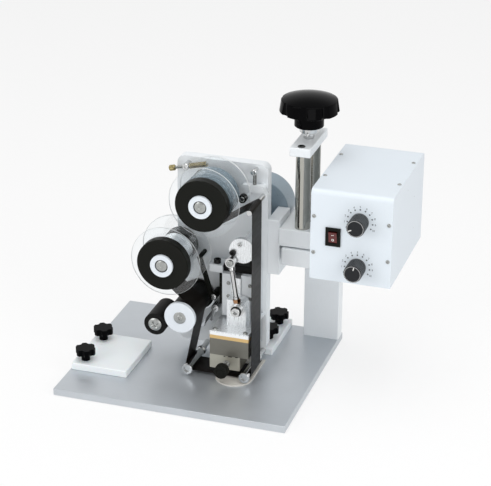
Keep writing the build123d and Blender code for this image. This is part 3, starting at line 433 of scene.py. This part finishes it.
def socket_screw(name, point, facing, body, head=4.0, tall=4.0, finish="zinc_plated_steel"):
    """A cap screw's head with a hexagon socket."""
    socket = hexagon(head * 1.05)
    rings = [
        (head, 0), (head, tall - 0.4), (head - 0.4, tall), (head * 0.66, tall),
        (socket, tall - 0.15), (socket, tall * 0.12),
    ]
    return set_on(turned(name, rings), point, facing, body, finish)


def cross_screw(name, point, facing, body, head=3.0, tall=1.5, finish="zinc_plated_steel"):
    """A pan head screw with a cross recess."""
    slot = cross_slot(head * 0.58, head * 0.3)
    rings = [
        (head, 0), (head, tall * 0.45), (head * 0.93, tall * 0.72), (head * 0.76, tall * 0.92),
        (head * 0.62, tall), (slot, tall - 0.04), (cross_slot(head * 0.4, head * 0.2), tall * 0.35),
    ]
    return set_on(turned(name, rings, 64), point, facing, body, finish, spin=0.5)


def coil(name, radius, wire, tall, turns, steps=18, around=8):
    """A wire spring's coil along its own +Z, by its outer radius and the wire's radius."""
    mesh = bmesh.new()
    rings = []
    for i in range(int(turns * steps) + 1):
        turn = 2 * pi * i / steps
        height = wire + (tall - 2 * wire) * i / (turns * steps)
        ring = []
        for j in range(around):
            side = 2 * pi * j / around
            reach = (radius - wire + wire * cos(side)) * MM
            rise = (height + wire * sin(side)) * MM
            ring.append(mesh.verts.new((reach * cos(turn), reach * sin(turn), rise)))
        rings.append(ring)
    for low, high in zip(rings, rings[1:]):
        for j in range(around):
            k = (j + 1) % around
            mesh.faces.new((low[j], low[k], high[k], high[j]))
    mesh.faces.new(rings[0])
    mesh.faces.new(list(reversed(rings[-1])))
    return finish_mesh(name, mesh, 60)


def bar(name, long, wide, thick):
    """A straight mark or bar along its own X, standing on its underside."""
    mesh = bmesh.new()
    bmesh.ops.create_cube(mesh, size=1)
    for vert in mesh.verts:
        vert.co = Vector((vert.co.x * long, vert.co.y * wide, (vert.co.z + 0.5) * thick)) * MM
    return finish_mesh(name, mesh)


def ringed(name, outer, inner, thick, steps=48):
    """A flat ring along its own +Z."""
    mesh = bmesh.new()
    turns = [2 * pi * i / steps for i in range(steps)]
    loops = [
        [mesh.verts.new((r * MM * cos(turn), r * MM * sin(turn), z * MM)) for turn in turns]
        for r, z in ((outer, 0), (outer, thick), (inner, thick), (inner, 0))
    ]
    for low, high in zip(loops, loops[1:] + loops[:1]):
        for i in range(steps):
            j = (i + 1) % steps
            mesh.faces.new((low[i], low[j], high[j], high[i]))
    return finish_mesh(name, mesh)


def numeral(name, text, tall):
    """A printed numeral, flat on its own XY."""
    curve = bpy.data.curves.new(name, "FONT")
    curve.body = text
    curve.size = tall * MM * EM_PER_NUMERAL
    curve.align_x = "CENTER"
    curve.align_y = "CENTER"
    curve.extrude = INK_THICK / 2 * MM
    letter = bpy.data.objects.new(name + "_text", curve)
    bpy.context.scene.collection.objects.link(letter)
    bpy.context.view_layer.update()
    drawn = letter.evaluated_get(bpy.context.evaluated_depsgraph_get())
    data = bpy.data.meshes.new_from_object(drawn)
    bpy.data.objects.remove(letter)
    bpy.data.curves.remove(curve)
    data.materials.clear()
    data.name = name
    piece = bpy.data.objects.new(name, data)
    bpy.context.scene.collection.objects.link(piece)
    return piece


def touch(name, point, ahead=BACK):
    """Where a line through a point meets a CAD node, in millimetres, and which way it faces."""
    node = NODES[name]
    inward = node.matrix_world.inverted()
    start = inward @ ((Vector(point) - Vector(ahead) * FAR) * MM)
    hit, place, normal, _ = node.ray_cast(start, inward.to_3x3() @ Vector(ahead))
    if not hit:
        raise RuntimeError(f"nothing of {name} behind {tuple(point)}")
    return node.matrix_world @ place / MM, (node.matrix_world.to_3x3() @ normal).normalized()


def box_of(name):
    """A node's low and high corner in millimetres."""
    return [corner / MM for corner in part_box(name)]


def front_of(name):
    """The middle of a node's front in millimetres."""
    low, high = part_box(name)
    return Vector(((low.x + high.x) / 2, low.y, (low.z + high.z) / 2)) / MM


def dress_nodes():
    for finish, names in NODE_FINISH.items():
        for name in names:
            node = NODES[name]
            if not node.data.materials:
                node.data.materials.append(None)
            for slot in node.material_slots:
                slot.material = FINISH[finish]


class CODER_OT_finishes(bpy.types.Operator):
    """Makes the materials and puts them on the CAD nodes"""

    bl_idname = "coder.finishes"
    bl_label = "Finishes"

    def execute(self, context):
        make_finishes(context.scene.coder_colours)
        dress_nodes()
        return {"FINISHED"}


class CODER_OT_lift_screw(bpy.types.Operator):
    """Makes the lift screw's rolled thread, its nut and its collar"""

    bl_idname = "coder.lift_screw"
    bl_label = "Lift screw"

    def execute(self, context):
        sizes = context.scene.coder_sizes
        pitch, depth = sizes.thread_pitch / MM, sizes.thread_depth / MM
        major, sections = 6.0, 6
        nut_bore, nut_flats, nut_tall, nut_edge, nut_gap = 6.6, 13, 8.7, 0.7, 0.3
        collar_radius, collar_edge, collar_rise = 12.5, 0.6, 9

        low, high = box_of("lead_screw")
        axis = (low + high) / 2
        bottom = low.z
        bracket_top = box_of("top_bracket")[1].z
        hub_bottom = box_of("handwheel")[0].z

        def thread(step):
            def outline(turn):
                phase = (step / sections - turn / (2 * pi)) % 1
                return major - depth * min(1, max(0, 3 * abs(phase - 0.5) - 0.4))

            return outline

        count = int((bracket_top - bottom) / pitch * sections)
        rings = [(thread(i), pitch * i / sections) for i in range(count + 1)]
        shaft = turned("lift_screw_thread", rings, 36)
        set_on(shaft, (axis.x, axis.y, bottom), UP, "lift_screw", "oiled_thread_steel")
        flats = hexagon(nut_flats)
        rings = [
            (nut_bore, 0), (flats, nut_edge), (flats, nut_tall - nut_edge), (nut_bore, nut_tall),
        ]
        nut = turned("lift_screw_nut", rings)
        place = (axis.x, axis.y, bracket_top + nut_gap)
        set_on(nut, place, UP, "lift_screw", "nickel_plated_steel")
        tall = hub_bottom - bracket_top - collar_rise
        rim = collar_radius - collar_edge
        rings = [
            (rim, 0), (collar_radius, collar_edge),
            (collar_radius, tall - collar_edge), (rim, tall),
        ]
        collar = turned("lift_screw_collar", rings)
        place = (axis.x, axis.y, bracket_top + collar_rise)
        set_on(collar, place, UP, "lift_screw", "nickel_plated_steel")
        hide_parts("lead_screw")
        return {"FINISHED"}


class CODER_OT_fasteners(bpy.types.Operator):
    """Makes the screws that hold the plates, rails, rollers, levers and box"""

    bl_idname = "coder.fasteners"
    bl_label = "Fasteners"

    def execute(self, context):
        self.box_screws()
        self.frame_screws()
        self.lever_screws()
        return {"FINISHED"}

    @staticmethod
    def box_screws():
        inset, front_drops, top_depths = 4.5, (36.5, 86.5), (126, 48.5)
        side_places = ((79, 18.5), (120, 44), (120, 89))
        side_head, head_sink, slot_shade_sink = 2.4, 0.53, 0.5
        low, high = box_of("box_cover")
        sides = (low.x + inset, high.x - inset)
        for i, (x, drop) in enumerate((x, drop) for x in sides for drop in front_drops):
            place = (x, low.y, high.z - drop)
            cross_screw(f"box_front_screw_{i}", place, VIEWER, "head", 2.6, 1.2)
        for i, (x, depth) in enumerate((x, depth) for x in sides for depth in top_depths):
            place = (x, low.y + depth, high.z)
            cross_screw(f"box_top_screw_{i}", place, UP, "head", 2.6, 1.2)
        side = box_of("box_chassis")[1].x
        for i, (depth, drop) in enumerate(side_places):
            y, z = low.y + depth, high.z - drop
            disc = turned(f"box_side_screw_{i}", [(side_head, 0), (side_head, 0.5)])
            set_on(disc, (side - head_sink, y, z), RIGHT, "head", "zinc_plated_steel")
            for j in (0, 1):
                # The cross recess of each side screw is two black bars on its flat head: painted
                # shade in the recess.
                slot = bar(f"box_side_slot_shade_{i}_{j}", 2.6, 0.6, 0.5)
                turn = pi / 4 + j * pi / 2
                place = (side - slot_shade_sink, y, z)
                set_on(slot, place, RIGHT, "head", "black_oxide_steel", turn)

    @staticmethod
    def frame_screws():
        left_inset, right_inset, rail_drops = 9, 3, (13.4, 32.6)
        bracket_depth, block_depth, slide_inset, slide_depth = 8, 7, 6, 5
        rail, right_rail = box_of("left_rail"), box_of("right_rail")
        rail_xs = (rail[0].x + left_inset, right_rail[1].x - right_inset)
        for i, (x, drop) in enumerate((x, drop) for x in rail_xs for drop in rail_drops):
            place = (x, rail[0].y, rail[1].z - drop)
            socket_screw(f"rail_screw_{i}", place, VIEWER, "head", 2.7, 1.4)
        low, high = box_of("top_bracket")
        place = ((low.x + high.x) / 2, low.y + bracket_depth, high.z)
        socket_screw("bracket_screw", place, UP, "frame", 5.0, 1.0, "black_oxide_steel")
        for name in ("lower_left_pin", "lower_right_pin"):
            place = front_of(name)
            socket_screw(name + "_screw", place, VIEWER, "head", 7.4, 2.6, "nickel_plated_steel")
        low, high = box_of("feed_block")
        place = ((low.x + high.x) / 2, low.y + block_depth, high.z)
        socket_screw("feed_block_screw", place, UP, "head", 5.0, 5.5, "black_oxide_steel")
        low, high = box_of("insulator")
        for i, x in enumerate((low.x + slide_inset, high.x - slide_inset)):
            seat, facing = touch("print_slide", (x, low.y + slide_depth, high.z), DOWN)
            cross_screw(f"slide_screw_{i}", seat, facing, "print_head", 3.2, 2.2)

    @staticmethod
    def lever_screws():
        knob_x, knob_z = 13.0, 102.0
        eye_x, eye_z, eye_rim = 14.9, 85.3, 4.0
        knob, facing = touch("feed_lever", (knob_x, 0, knob_z))
        cross_screw("feed_lever_screw", knob, facing, "head", 4.2, 1.8, "nickel_plated_steel")
        cross_screw("guide_pulley_screw", front_of("guide_pulley"), VIEWER, "head", 3.6, 1.4)
        rim = touch("fork_lever", (eye_x, 0, eye_z + eye_rim))[0]
        pin = (eye_x, rim.y, eye_z)
        socket_screw("fork_pin", pin, VIEWER, "head", 2.2, 1.6, "nickel_plated_steel")


class CODER_OT_spools(bpy.types.Operator):
    """Makes the faces of the spindles and the screws, rims and edges of the spools and rollers"""

    bl_idname = "coder.spools"
    bl_label = "Spools and rollers"

    def execute(self, context):
        self.hubs()
        self.disc_edges()
        self.rollers()
        return {"FINISHED"}

    @staticmethod
    def hubs():
        sink, spindle, shade_ring_radius, shade_ring_thick = 1.5, 7.6, 8.9, 0.25
        rings = [(spindle, 0), (spindle, 0.9), (7.0, 1.3), (2.2, 1.3), (1.6, 0.5)]
        for name, body in (("supply_hub", "supply_spool"), ("takeup_hub", "takeup_spool")):
            point = front_of(name)
            point.y += sink
            face = turned(name + "_spindle", rings)
            set_on(face, point, VIEWER, body, "zinc_plated_steel")
            # A thin black ring on the recess floor round the spindle: painted shade in the gap
            # between spindle and recess.
            painted_shade_ring = ringed(name + "_painted_shade_ring", shade_ring_radius, spindle, shade_ring_thick)
            set_on(painted_shade_ring, point, VIEWER, body, "black_oxide_steel")

    @staticmethod
    def disc_edges():
        proud, deep, short = 0.03, 0.3, 0.1
        for name, body in (
            ("supply_front_disc", "supply_spool"), ("supply_rear_disc", "supply_spool"),
            ("takeup_front_disc", "takeup_spool"), ("takeup_rear_disc", "takeup_spool"),
        ):
            low, high = box_of(name)
            reach, thick = (high.x - low.x) / 2, high.y - low.y
            # Pale rings on the discs' rims: sawn edges, with a painted highlight.
            edge = ringed(name + "_edge", reach + proud, reach - deep, thick - 2 * short, 128)
            place = front_of(name) + Vector((0, thick - short, 0))
            set_on(edge, place, VIEWER, body, "sawn_acrylic_painted_highlight")

    @staticmethod
    def rollers():
        washer_thick, rim_wide, rim_proud = 0.9, 1.6, 0.03
        disc = front_of("feed_disc")
        rings = [(8.4, 0), (8.4, 0.6), (7.9, washer_thick), (5.2, washer_thick)]
        set_on(turned("feed_disc_washer", rings), disc, VIEWER, "feed_drum", "zinc_plated_steel")
        disc.y -= washer_thick
        cross_screw("feed_disc_screw", disc, VIEWER, "feed_drum", 4.6, 1.6)
        low, high = box_of("feed_drum")
        radius, middle = (high.x - low.x) / 2, (low.z + high.z) / 2
        flange_front = touch("feed_drum", (low.x + 1, 0, middle))[0].y
        for name, behind in (("drum_flange_rim", 4.0), ("drum_flange_lip", 0.9)):
            rim = ringed(name, radius + rim_proud, radius - rim_wide, 1.0, 96)
            place = ((low.x + high.x) / 2, flange_front + behind, middle)
            set_on(rim, place, VIEWER, "feed_drum", "nickel_plated_steel")
        roller = front_of("pinch_roller")
        cross_screw("pinch_roller_screw", roller, VIEWER, "pinch_roller", 9.2, 2.2)


class CODER_OT_linkage(bpy.types.Operator):
    """Makes the nuts and screws of the crank, the connecting rod and the type holder's knob"""

    bl_idname = "coder.linkage"
    bl_label = "Linkage"

    def execute(self, context):
        low, high = box_of("connecting_rod")
        foot_radius, eye_radius, middle = 9.5, 7, (low.y + high.y) / 2
        foot = Vector((high.x - foot_radius, middle, low.z + foot_radius))
        eye = Vector((low.x + eye_radius, middle, high.z - eye_radius))
        self.rod(foot, eye)
        self.crank(eye)
        self.type_holder()
        self.type_knob()
        return {"FINISHED"}

    @staticmethod
    def rod(foot, eye):
        nut_rise, collar_rise, neck_drop, flats = 9.6, 14.6, 12.5, hexagon(9.6)
        along = (eye - foot).normalized()
        nut = turned("rod_nut", [(4.6, 0), (flats, 0.5), (flats, 4.5), (4.6, 5.0)])
        set_on(nut, foot + along * nut_rise, along, "connecting_rod", "copper_washed_steel")
        collar = turned("rod_collar", [(3.6, 0), (4.1, 0.4), (4.1, 3.6), (3.6, 4.0)])
        set_on(collar, foot + along * collar_rise, along, "connecting_rod", "nickel_plated_steel")
        neck = turned("rod_neck", [(3.4, 0), (4.3, 1.2), (4.3, 5.5), (3.4, 7.0)])
        set_on(neck, eye - along * neck_drop, along, "connecting_rod", "nickel_plated_steel")
        bolt, facing = touch("print_slide", foot)
        washer = ringed("foot_washer", 7.4, 4.0, 0.6)
        set_on(washer, bolt, facing, "print_head", "black_oxide_steel")
        socket_screw("foot_bolt", bolt, facing, "print_head", 6.2, 4.4, "nickel_plated_steel")

    @staticmethod
    def crank(eye):
        disc_radius = 17.5
        pin, facing = touch("crank_disc", (eye.x, 0, eye.z))
        cross_screw("crank_pin_screw", pin, facing, "crank", 4.4, 1.6)
        high = box_of("crank_disc")[1]
        centre = Vector((high.x - disc_radius, 0, high.z - disc_radius))
        for name, dx, dz, head, finish in (
            ("crank_clamp_screw", -12.0, -3.5, 4.2, "black_oxide_steel"),
            ("crank_hub_screw", -2.5, 9.5, 3.2, "nickel_plated_steel"),
        ):
            seat, facing = touch("crank_disc", centre + Vector((dx, 0, dz)))
            socket_screw(name, seat, facing, "crank", head, 3.4, finish)

    @staticmethod
    def type_holder():
        """The gaps between the type and its holder, by their starts and lengths, as thin black bars
        of painted shade.
        """
        drop, rise, wide, thick = 1.0, 0.5, 1.1, 0.12
        low, high = box_of("type_holder")
        for i, (start, long) in enumerate(((19.5, 2.5), (26.0, 5.0), (35.5, 4.0))):
            # Black bars on the holder's face: painted shade in the gaps.
            slot = bar(f"type_gap_shade_{i}", long, wide, thick)
            place = (low.x + start + long / 2, low.y, high.z - drop + rise * i)
            set_on(slot, place, VIEWER, "print_head", "black_oxide_steel")

    @staticmethod
    def type_knob():
        tall, root_depth, stem_radius, stem_long = 12.0, 28.0, 3.4, 16.0
        front = front_of("type_knob")
        knurl = fluted(9.5, 0.5, 40)
        rings = [
            (8.6, 0), (knurl, 0.9), (knurl, tall - 0.8),
            (8.4, tall), (6.0, tall), (5.4, tall - 0.8),
        ]
        grip = turned("type_knob_grip", rings, 160)
        set_on(grip, front + Vector((0, tall, 0)), VIEWER, "type_knob", "moulded_abs")
        stem = turned("type_knob_stem", [(stem_radius, 0), (stem_radius, stem_long)])
        root = front + Vector((0, root_depth, 0))
        set_on(stem, root, VIEWER, "type_knob", "nickel_plated_steel")
        spring = coil("type_knob_spring", 5.0, 0.6, 14.0, 7)
        set_on(spring, root, VIEWER, "type_knob", "drawn_spring_wire")
        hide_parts("type_knob")


class CODER_OT_springs(bpy.types.Operator):
    """Makes the guide arm's spring on its post and the brake screw with its spring"""

    bl_idname = "coder.springs"
    bl_label = "Springs"

    def execute(self, context):
        self.guide_spring()
        self.brake()
        return {"FINISHED"}

    @staticmethod
    def guide_spring():
        post_radius, head_radius, arm_half = 2.5, 4.0, 4.0
        low, high = box_of("guide_spring")
        x, top, long = (low.x + high.x) / 2, high.z - head_radius, high.y - low.y
        rings = [
            (post_radius, 0), (post_radius, long - 3), (head_radius, long - 3),
            (head_radius, long - 0.8), (3.2, long),
        ]
        post = turned("guide_spring_post", rings)
        set_on(post, (x, high.y, top), VIEWER, "head", "nickel_plated_steel")
        middle = box_of("guide_arm")[0].y + arm_half
        spring = coil("guide_spring_coil", 2.6, 0.45, top - low.z, 15)
        set_on(spring, (x, middle, low.z), UP, "head", "drawn_spring_wire")
        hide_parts("guide_spring")

    @staticmethod
    def brake():
        """The brake screw, which leans by its rise over its run, and its post from the plate."""
        run, rise, stand_off = 53.0, 13.0, 11.0
        nut_radius, nut_tall, sleeve_radius, sleeve_long = 4.0, 8.0, 3.8, 26.0
        core, crest, ridge, plain = 1.7, 2.0, 0.4, 9
        post_radius = 4.5
        tilt = atan2(rise, run)
        low, high = box_of("brake_screw")
        along = Vector((cos(tilt), 0, sin(tilt)))
        y = high.y - stand_off
        tip = Vector((low.x + nut_radius * sin(tilt), y, low.z + nut_radius * cos(tilt)))
        end = Vector((high.x - sleeve_radius * sin(tilt), y, high.z - sleeve_radius * cos(tilt)))
        reach = (end - tip).length
        ridges = int((reach - plain - 1) / ridge)
        rings = [(crest if i % 2 else core, plain + ridge * i) for i in range(1, ridges)]
        screw = turned("brake_thread", [(core, 0), (core, plain)] + rings + [(core, reach)], 20)
        set_on(screw, tip, along, "head", "zinc_plated_steel")
        knurl = fluted(nut_radius, 0.4, 18)
        rings = [(3.2, 0), (knurl, 0.8), (knurl, nut_tall - 0.8), (3.2, nut_tall)]
        set_on(turned("brake_nut", rings, 72), tip, along, "head", "turned_brass")
        spring = coil("brake_spring", sleeve_radius, 0.6, sleeve_long, 13)
        set_on(spring, tip + along * (reach - sleeve_long), along, "head", "turned_brass")
        root, long = tip + along * (reach - sleeve_long - post_radius), high.y - low.y
        rings = [
            (post_radius, 0), (post_radius, long - 0.8), (3.9, long), (2.0, long), (1.6, long - 1),
        ]
        post = turned("brake_post", rings)
        set_on(post, (root.x, high.y, root.z), VIEWER, "head", "nickel_plated_steel")
        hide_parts("brake_screw")


class CODER_OT_panel(bpy.types.Operator):
    """Makes the dial grips with their marks, the scales round them and the switch's signs"""

    bl_idname = "coder.panel"
    bl_label = "Panel"

    def execute(self, context):
        sizes = context.scene.coder_sizes
        front = box_of("box_cover")[0].y
        for name, pointer in (("upper_dial", radians(205)), ("lower_dial", radians(80))):
            centre = front_of(name)
            self.dial(name, centre, front, pointer)
            self.scale(name, Vector((centre.x, front, centre.z)), sizes)
        self.switch()
        return {"FINISHED"}

    @staticmethod
    def dial(name, centre, front, pointer):
        """A fluted grip with a turned insert, a bright rim and a mark at the pointer's turn."""
        gap, sink, mark_long = 0.3, 0.6, 4.4
        low, high = box_of(name)
        face = (high.x - low.x) / 2
        tall = front - centre.y - gap
        grip = fluted(face, 0.7, 36)
        rings = [
            (face - 0.2, 0), (face - 0.2, 3.0), (grip, 3.4), (grip, tall - 1.0),
            (face - 1.2, tall - 0.1), (face - 1.6, tall), (face - 1.9, tall),
            (face - 2.0, tall - sink),
        ]
        piece = turned(name + "_grip", rings, 180)
        set_on(piece, (centre.x, front - gap, centre.z), VIEWER, name, "polished_abs")
        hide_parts(name)
        insert = turned(name + "_insert", [(face - 2.0, 0), (face - 2.0, 0.5)], 64)
        place = centre + Vector((0, sink, 0))
        set_on(insert, place, VIEWER, name, "turned_dark_aluminium")
        rim = ringed(name + "_rim", face - 1.3, face - 1.8, 0.05)
        set_on(rim, centre, VIEWER, name, "nickel_plated_steel")
        mark = bar(name + "_pointer", mark_long, 1.1, 0.12)
        reach = face - mark_long
        place = centre + Vector((reach * cos(pointer), 0.1, reach * sin(pointer)))
        set_on(mark, place, VIEWER, name, "white_paint", pointer)

    @staticmethod
    def scale(name, middle, sizes):
        """Dots and numerals from nought to ten round a dial."""
        marks, first, sweep, numeral_tall, dot_thick = 11, 210, 240, 2.8, 0.12
        radius = sizes.tick_dot / MM
        for i in range(marks):
            turn = radians(first - sweep * i / (marks - 1))
            aim = Vector((cos(turn), 0, sin(turn)))
            dot = turned(f"{name}_dot_{i}", [(radius, 0), (radius * 0.9, dot_thick)], 16)
            set_on(dot, middle + aim * (sizes.tick_ring / MM), VIEWER, "head", "panel_ink")
            number = numeral(f"{name}_number_{i}", str(i), numeral_tall)
            set_on(number, middle + aim * (sizes.number_ring / MM), VIEWER, "head", "panel_ink")

    @staticmethod
    def switch():
        on_rise, off_rise, paint = 3.4, -3.6, 0.1
        rocker = front_of("switch_rocker")
        for piece, rise in (
            (bar("switch_on_mark", 3.2, 0.8, paint), on_rise),
            (ringed("switch_off_mark", 1.7, 1.05, paint, 32), off_rise),
        ):
            seat, facing = touch("switch_rocker", rocker + Vector((0, 0, rise)))
            set_on(piece, seat, facing, "switch_rocker", "white_paint")


class CODER_OT_stage(bpy.types.Operator):
    """Makes the camera, the lamps, the pale floor and the white surround"""

    bl_idname = "coder.stage"
    bl_label = "Stage"

    def execute(self, context):
        scene = context.scene
        scene.view_settings.view_transform = "Standard"
        self.camera(scene)
        self.surround(scene)
        self.lamps(scene)
        self.floor(scene)
        return {"FINISHED"}

    @staticmethod
    def camera(scene):
        """The photograph's viewpoint: its direction, distance, slight roll and angle of view."""
        azimuth, elevation, roll = radians(17.82), radians(24.26), radians(0.34)
        sensor, picture_wide, focal_pixels = 36, 491, 1859.2
        place = (0.7424, -2.1198, 1.1963)
        ahead = Vector(
            (-sin(azimuth) * cos(elevation), cos(azimuth) * cos(elevation), -sin(elevation))
        )
        right = Vector((cos(azimuth), sin(azimuth), 0))
        up = right.cross(ahead)
        right, up = right * cos(roll) + up * sin(roll), up * cos(roll) - right * sin(roll)
        lens = bpy.data.cameras.new("camera")
        lens.sensor_width = sensor
        lens.sensor_fit = "HORIZONTAL"
        lens.lens = sensor * focal_pixels / picture_wide
        lens.clip_end = 20
        camera = bpy.data.objects.new("camera", lens)
        turn = Matrix((right, up, -ahead)).transposed().to_4x4()
        camera.matrix_world = Matrix.Translation(place) @ turn
        scene.collection.objects.link(camera)
        scene.camera = camera

    @staticmethod
    def surround(scene):
        """A plain soft world that camera and clear rays see as white, and mirror rays as a white
        cove behind the machine in a dimmer room."""
        world = bpy.data.worlds.new("studio")
        world.use_nodes = True
        tree = world.node_tree
        tree.nodes.clear()
        lit, dim, bright = 0.6, 0.48, 1.0
        rays = add(tree, "LightPath").outputs
        toward = add(tree, "TexCoord").outputs["Generated"]
        where = add(tree, "SeparateXYZ", {"Vector": toward}).outputs
        behind = add(
            tree, "MapRange", {"Value": where["Y"], "From Min": -0.3, "From Max": 0.35}
        ).outputs["Result"]
        below = add(
            tree, "MapRange", {"Value": where["Z"], "From Min": 0.8, "From Max": 0.5}
        ).outputs["Result"]
        cove = add(tree, "Math", {0: behind, 1: below}, operation="MULTIPLY").outputs[0]
        cove = add(tree, "Math", {0: cove, 1: bright - dim, 2: dim}, operation="MULTIPLY_ADD")
        mirror = {0: rays["Is Glossy Ray"], 1: cove.outputs[0]}
        shine = add(tree, "Math", mirror, operation="MULTIPLY").outputs[0]
        direct = {0: rays["Is Camera Ray"], 1: rays["Is Transmission Ray"]}
        seen = add(tree, "Math", direct, operation="MAXIMUM")
        seen = add(tree, "Math", {0: seen.outputs[0], 1: shine}, operation="MAXIMUM")
        strength = add(tree, "Math", {0: seen.outputs[0], 1: lit}, operation="MAXIMUM")
        sky = add(tree, "Background", {"Color": (1, 1, 1, 1), "Strength": strength.outputs[0]})
        add(tree, "OutputWorld", {"Surface": sky.outputs[0]})
        scene.world = world

    @staticmethod
    def lamps(scene):
        middle = Vector((0.03, 0, 0.16))
        for name, place, size, power in (
            ("key_lamp", (-1.3, -1.7, 0.9), 1.1, 12),
            ("top_lamp", (0.1, -0.2, 2.1), 1.6, 16),
            ("side_lamp", (1.9, -0.9, 1.1), 1.2, 10),
            ("fill_lamp", (1.0, -1.8, 0.25), 1.0, 7),
        ):
            lamp = bpy.data.lights.new(name, "AREA")
            lamp.size = size
            lamp.energy = power
            piece = bpy.data.objects.new(name, lamp)
            piece.location = place
            aim = middle - piece.location
            piece.rotation_euler = aim.to_track_quat("-Z", "Y").to_euler()
            scene.collection.objects.link(piece)

    @staticmethod
    def floor(scene):
        half, gap, glow_share = 6, 0.0003, 0.7
        mesh = bmesh.new()
        bmesh.ops.create_grid(mesh, x_segments=1, y_segments=1, size=half)
        floor = finish_mesh("floor", mesh)
        floor.location.z = -gap
        material = bpy.data.materials.new("studio_floor")
        material.use_nodes = True
        tree = material.node_tree
        tree.nodes.clear()
        rays = add(tree, "LightPath").outputs
        paper = add(tree, "BsdfDiffuse", {"Color": (0.9, 0.9, 0.9, 1)})
        glow = add(tree, "Emission", {"Color": (1, 1, 1, 1), "Strength": 1.0})
        seen = add(
            tree, "Math", {0: rays["Is Camera Ray"], 1: rays["Is Glossy Ray"]}, operation="MAXIMUM"
        )
        share = add(tree, "Math", {0: seen.outputs[0], 1: glow_share}, operation="MULTIPLY")
        mix = add(tree, "MixShader", {0: share.outputs[0], 1: paper.outputs[0], 2: glow.outputs[0]})
        add(tree, "OutputMaterial", {"Surface": mix.outputs[0]})
        floor.data.materials.append(material)


class CODER_PT_panel(bpy.types.Panel):
    """Lists the steps, sizes and colours of the date coder"""

    bl_idname = "CODER_PT_panel"
    bl_label = "Ribbon date coder"
    bl_space_type = "VIEW_3D"
    bl_region_type = "UI"
    bl_category = "Coder"

    def draw(self, context):
        for step in STEPS:
            self.layout.operator(step.bl_idname)
        for group in (context.scene.coder_sizes, context.scene.coder_colours):
            for key in group.__annotations__:
                self.layout.prop(group, key)


STEPS = (
    CODER_OT_stage,
    CODER_OT_finishes,
    CODER_OT_lift_screw,
    CODER_OT_fasteners,
    CODER_OT_spools,
    CODER_OT_linkage,
    CODER_OT_springs,
    CODER_OT_panel,
)
CLASSES = (CoderColours, CoderSizes, *STEPS, CODER_PT_panel)


def register():
    for item in CLASSES:
        bpy.utils.register_class(item)
    bpy.types.Scene.coder_colours = bpy.props.PointerProperty(type=CoderColours)
    bpy.types.Scene.coder_sizes = bpy.props.PointerProperty(type=CoderSizes)


def unregister():
    del bpy.types.Scene.coder_sizes
    del bpy.types.Scene.coder_colours
    for item in reversed(CLASSES):
        bpy.utils.unregister_class(item)


def main():
    register()
    for step in STEPS:
        group, name = step.bl_idname.split(".")
        getattr(getattr(bpy.ops, group), name)()


if __name__ == "__main__":
    main()
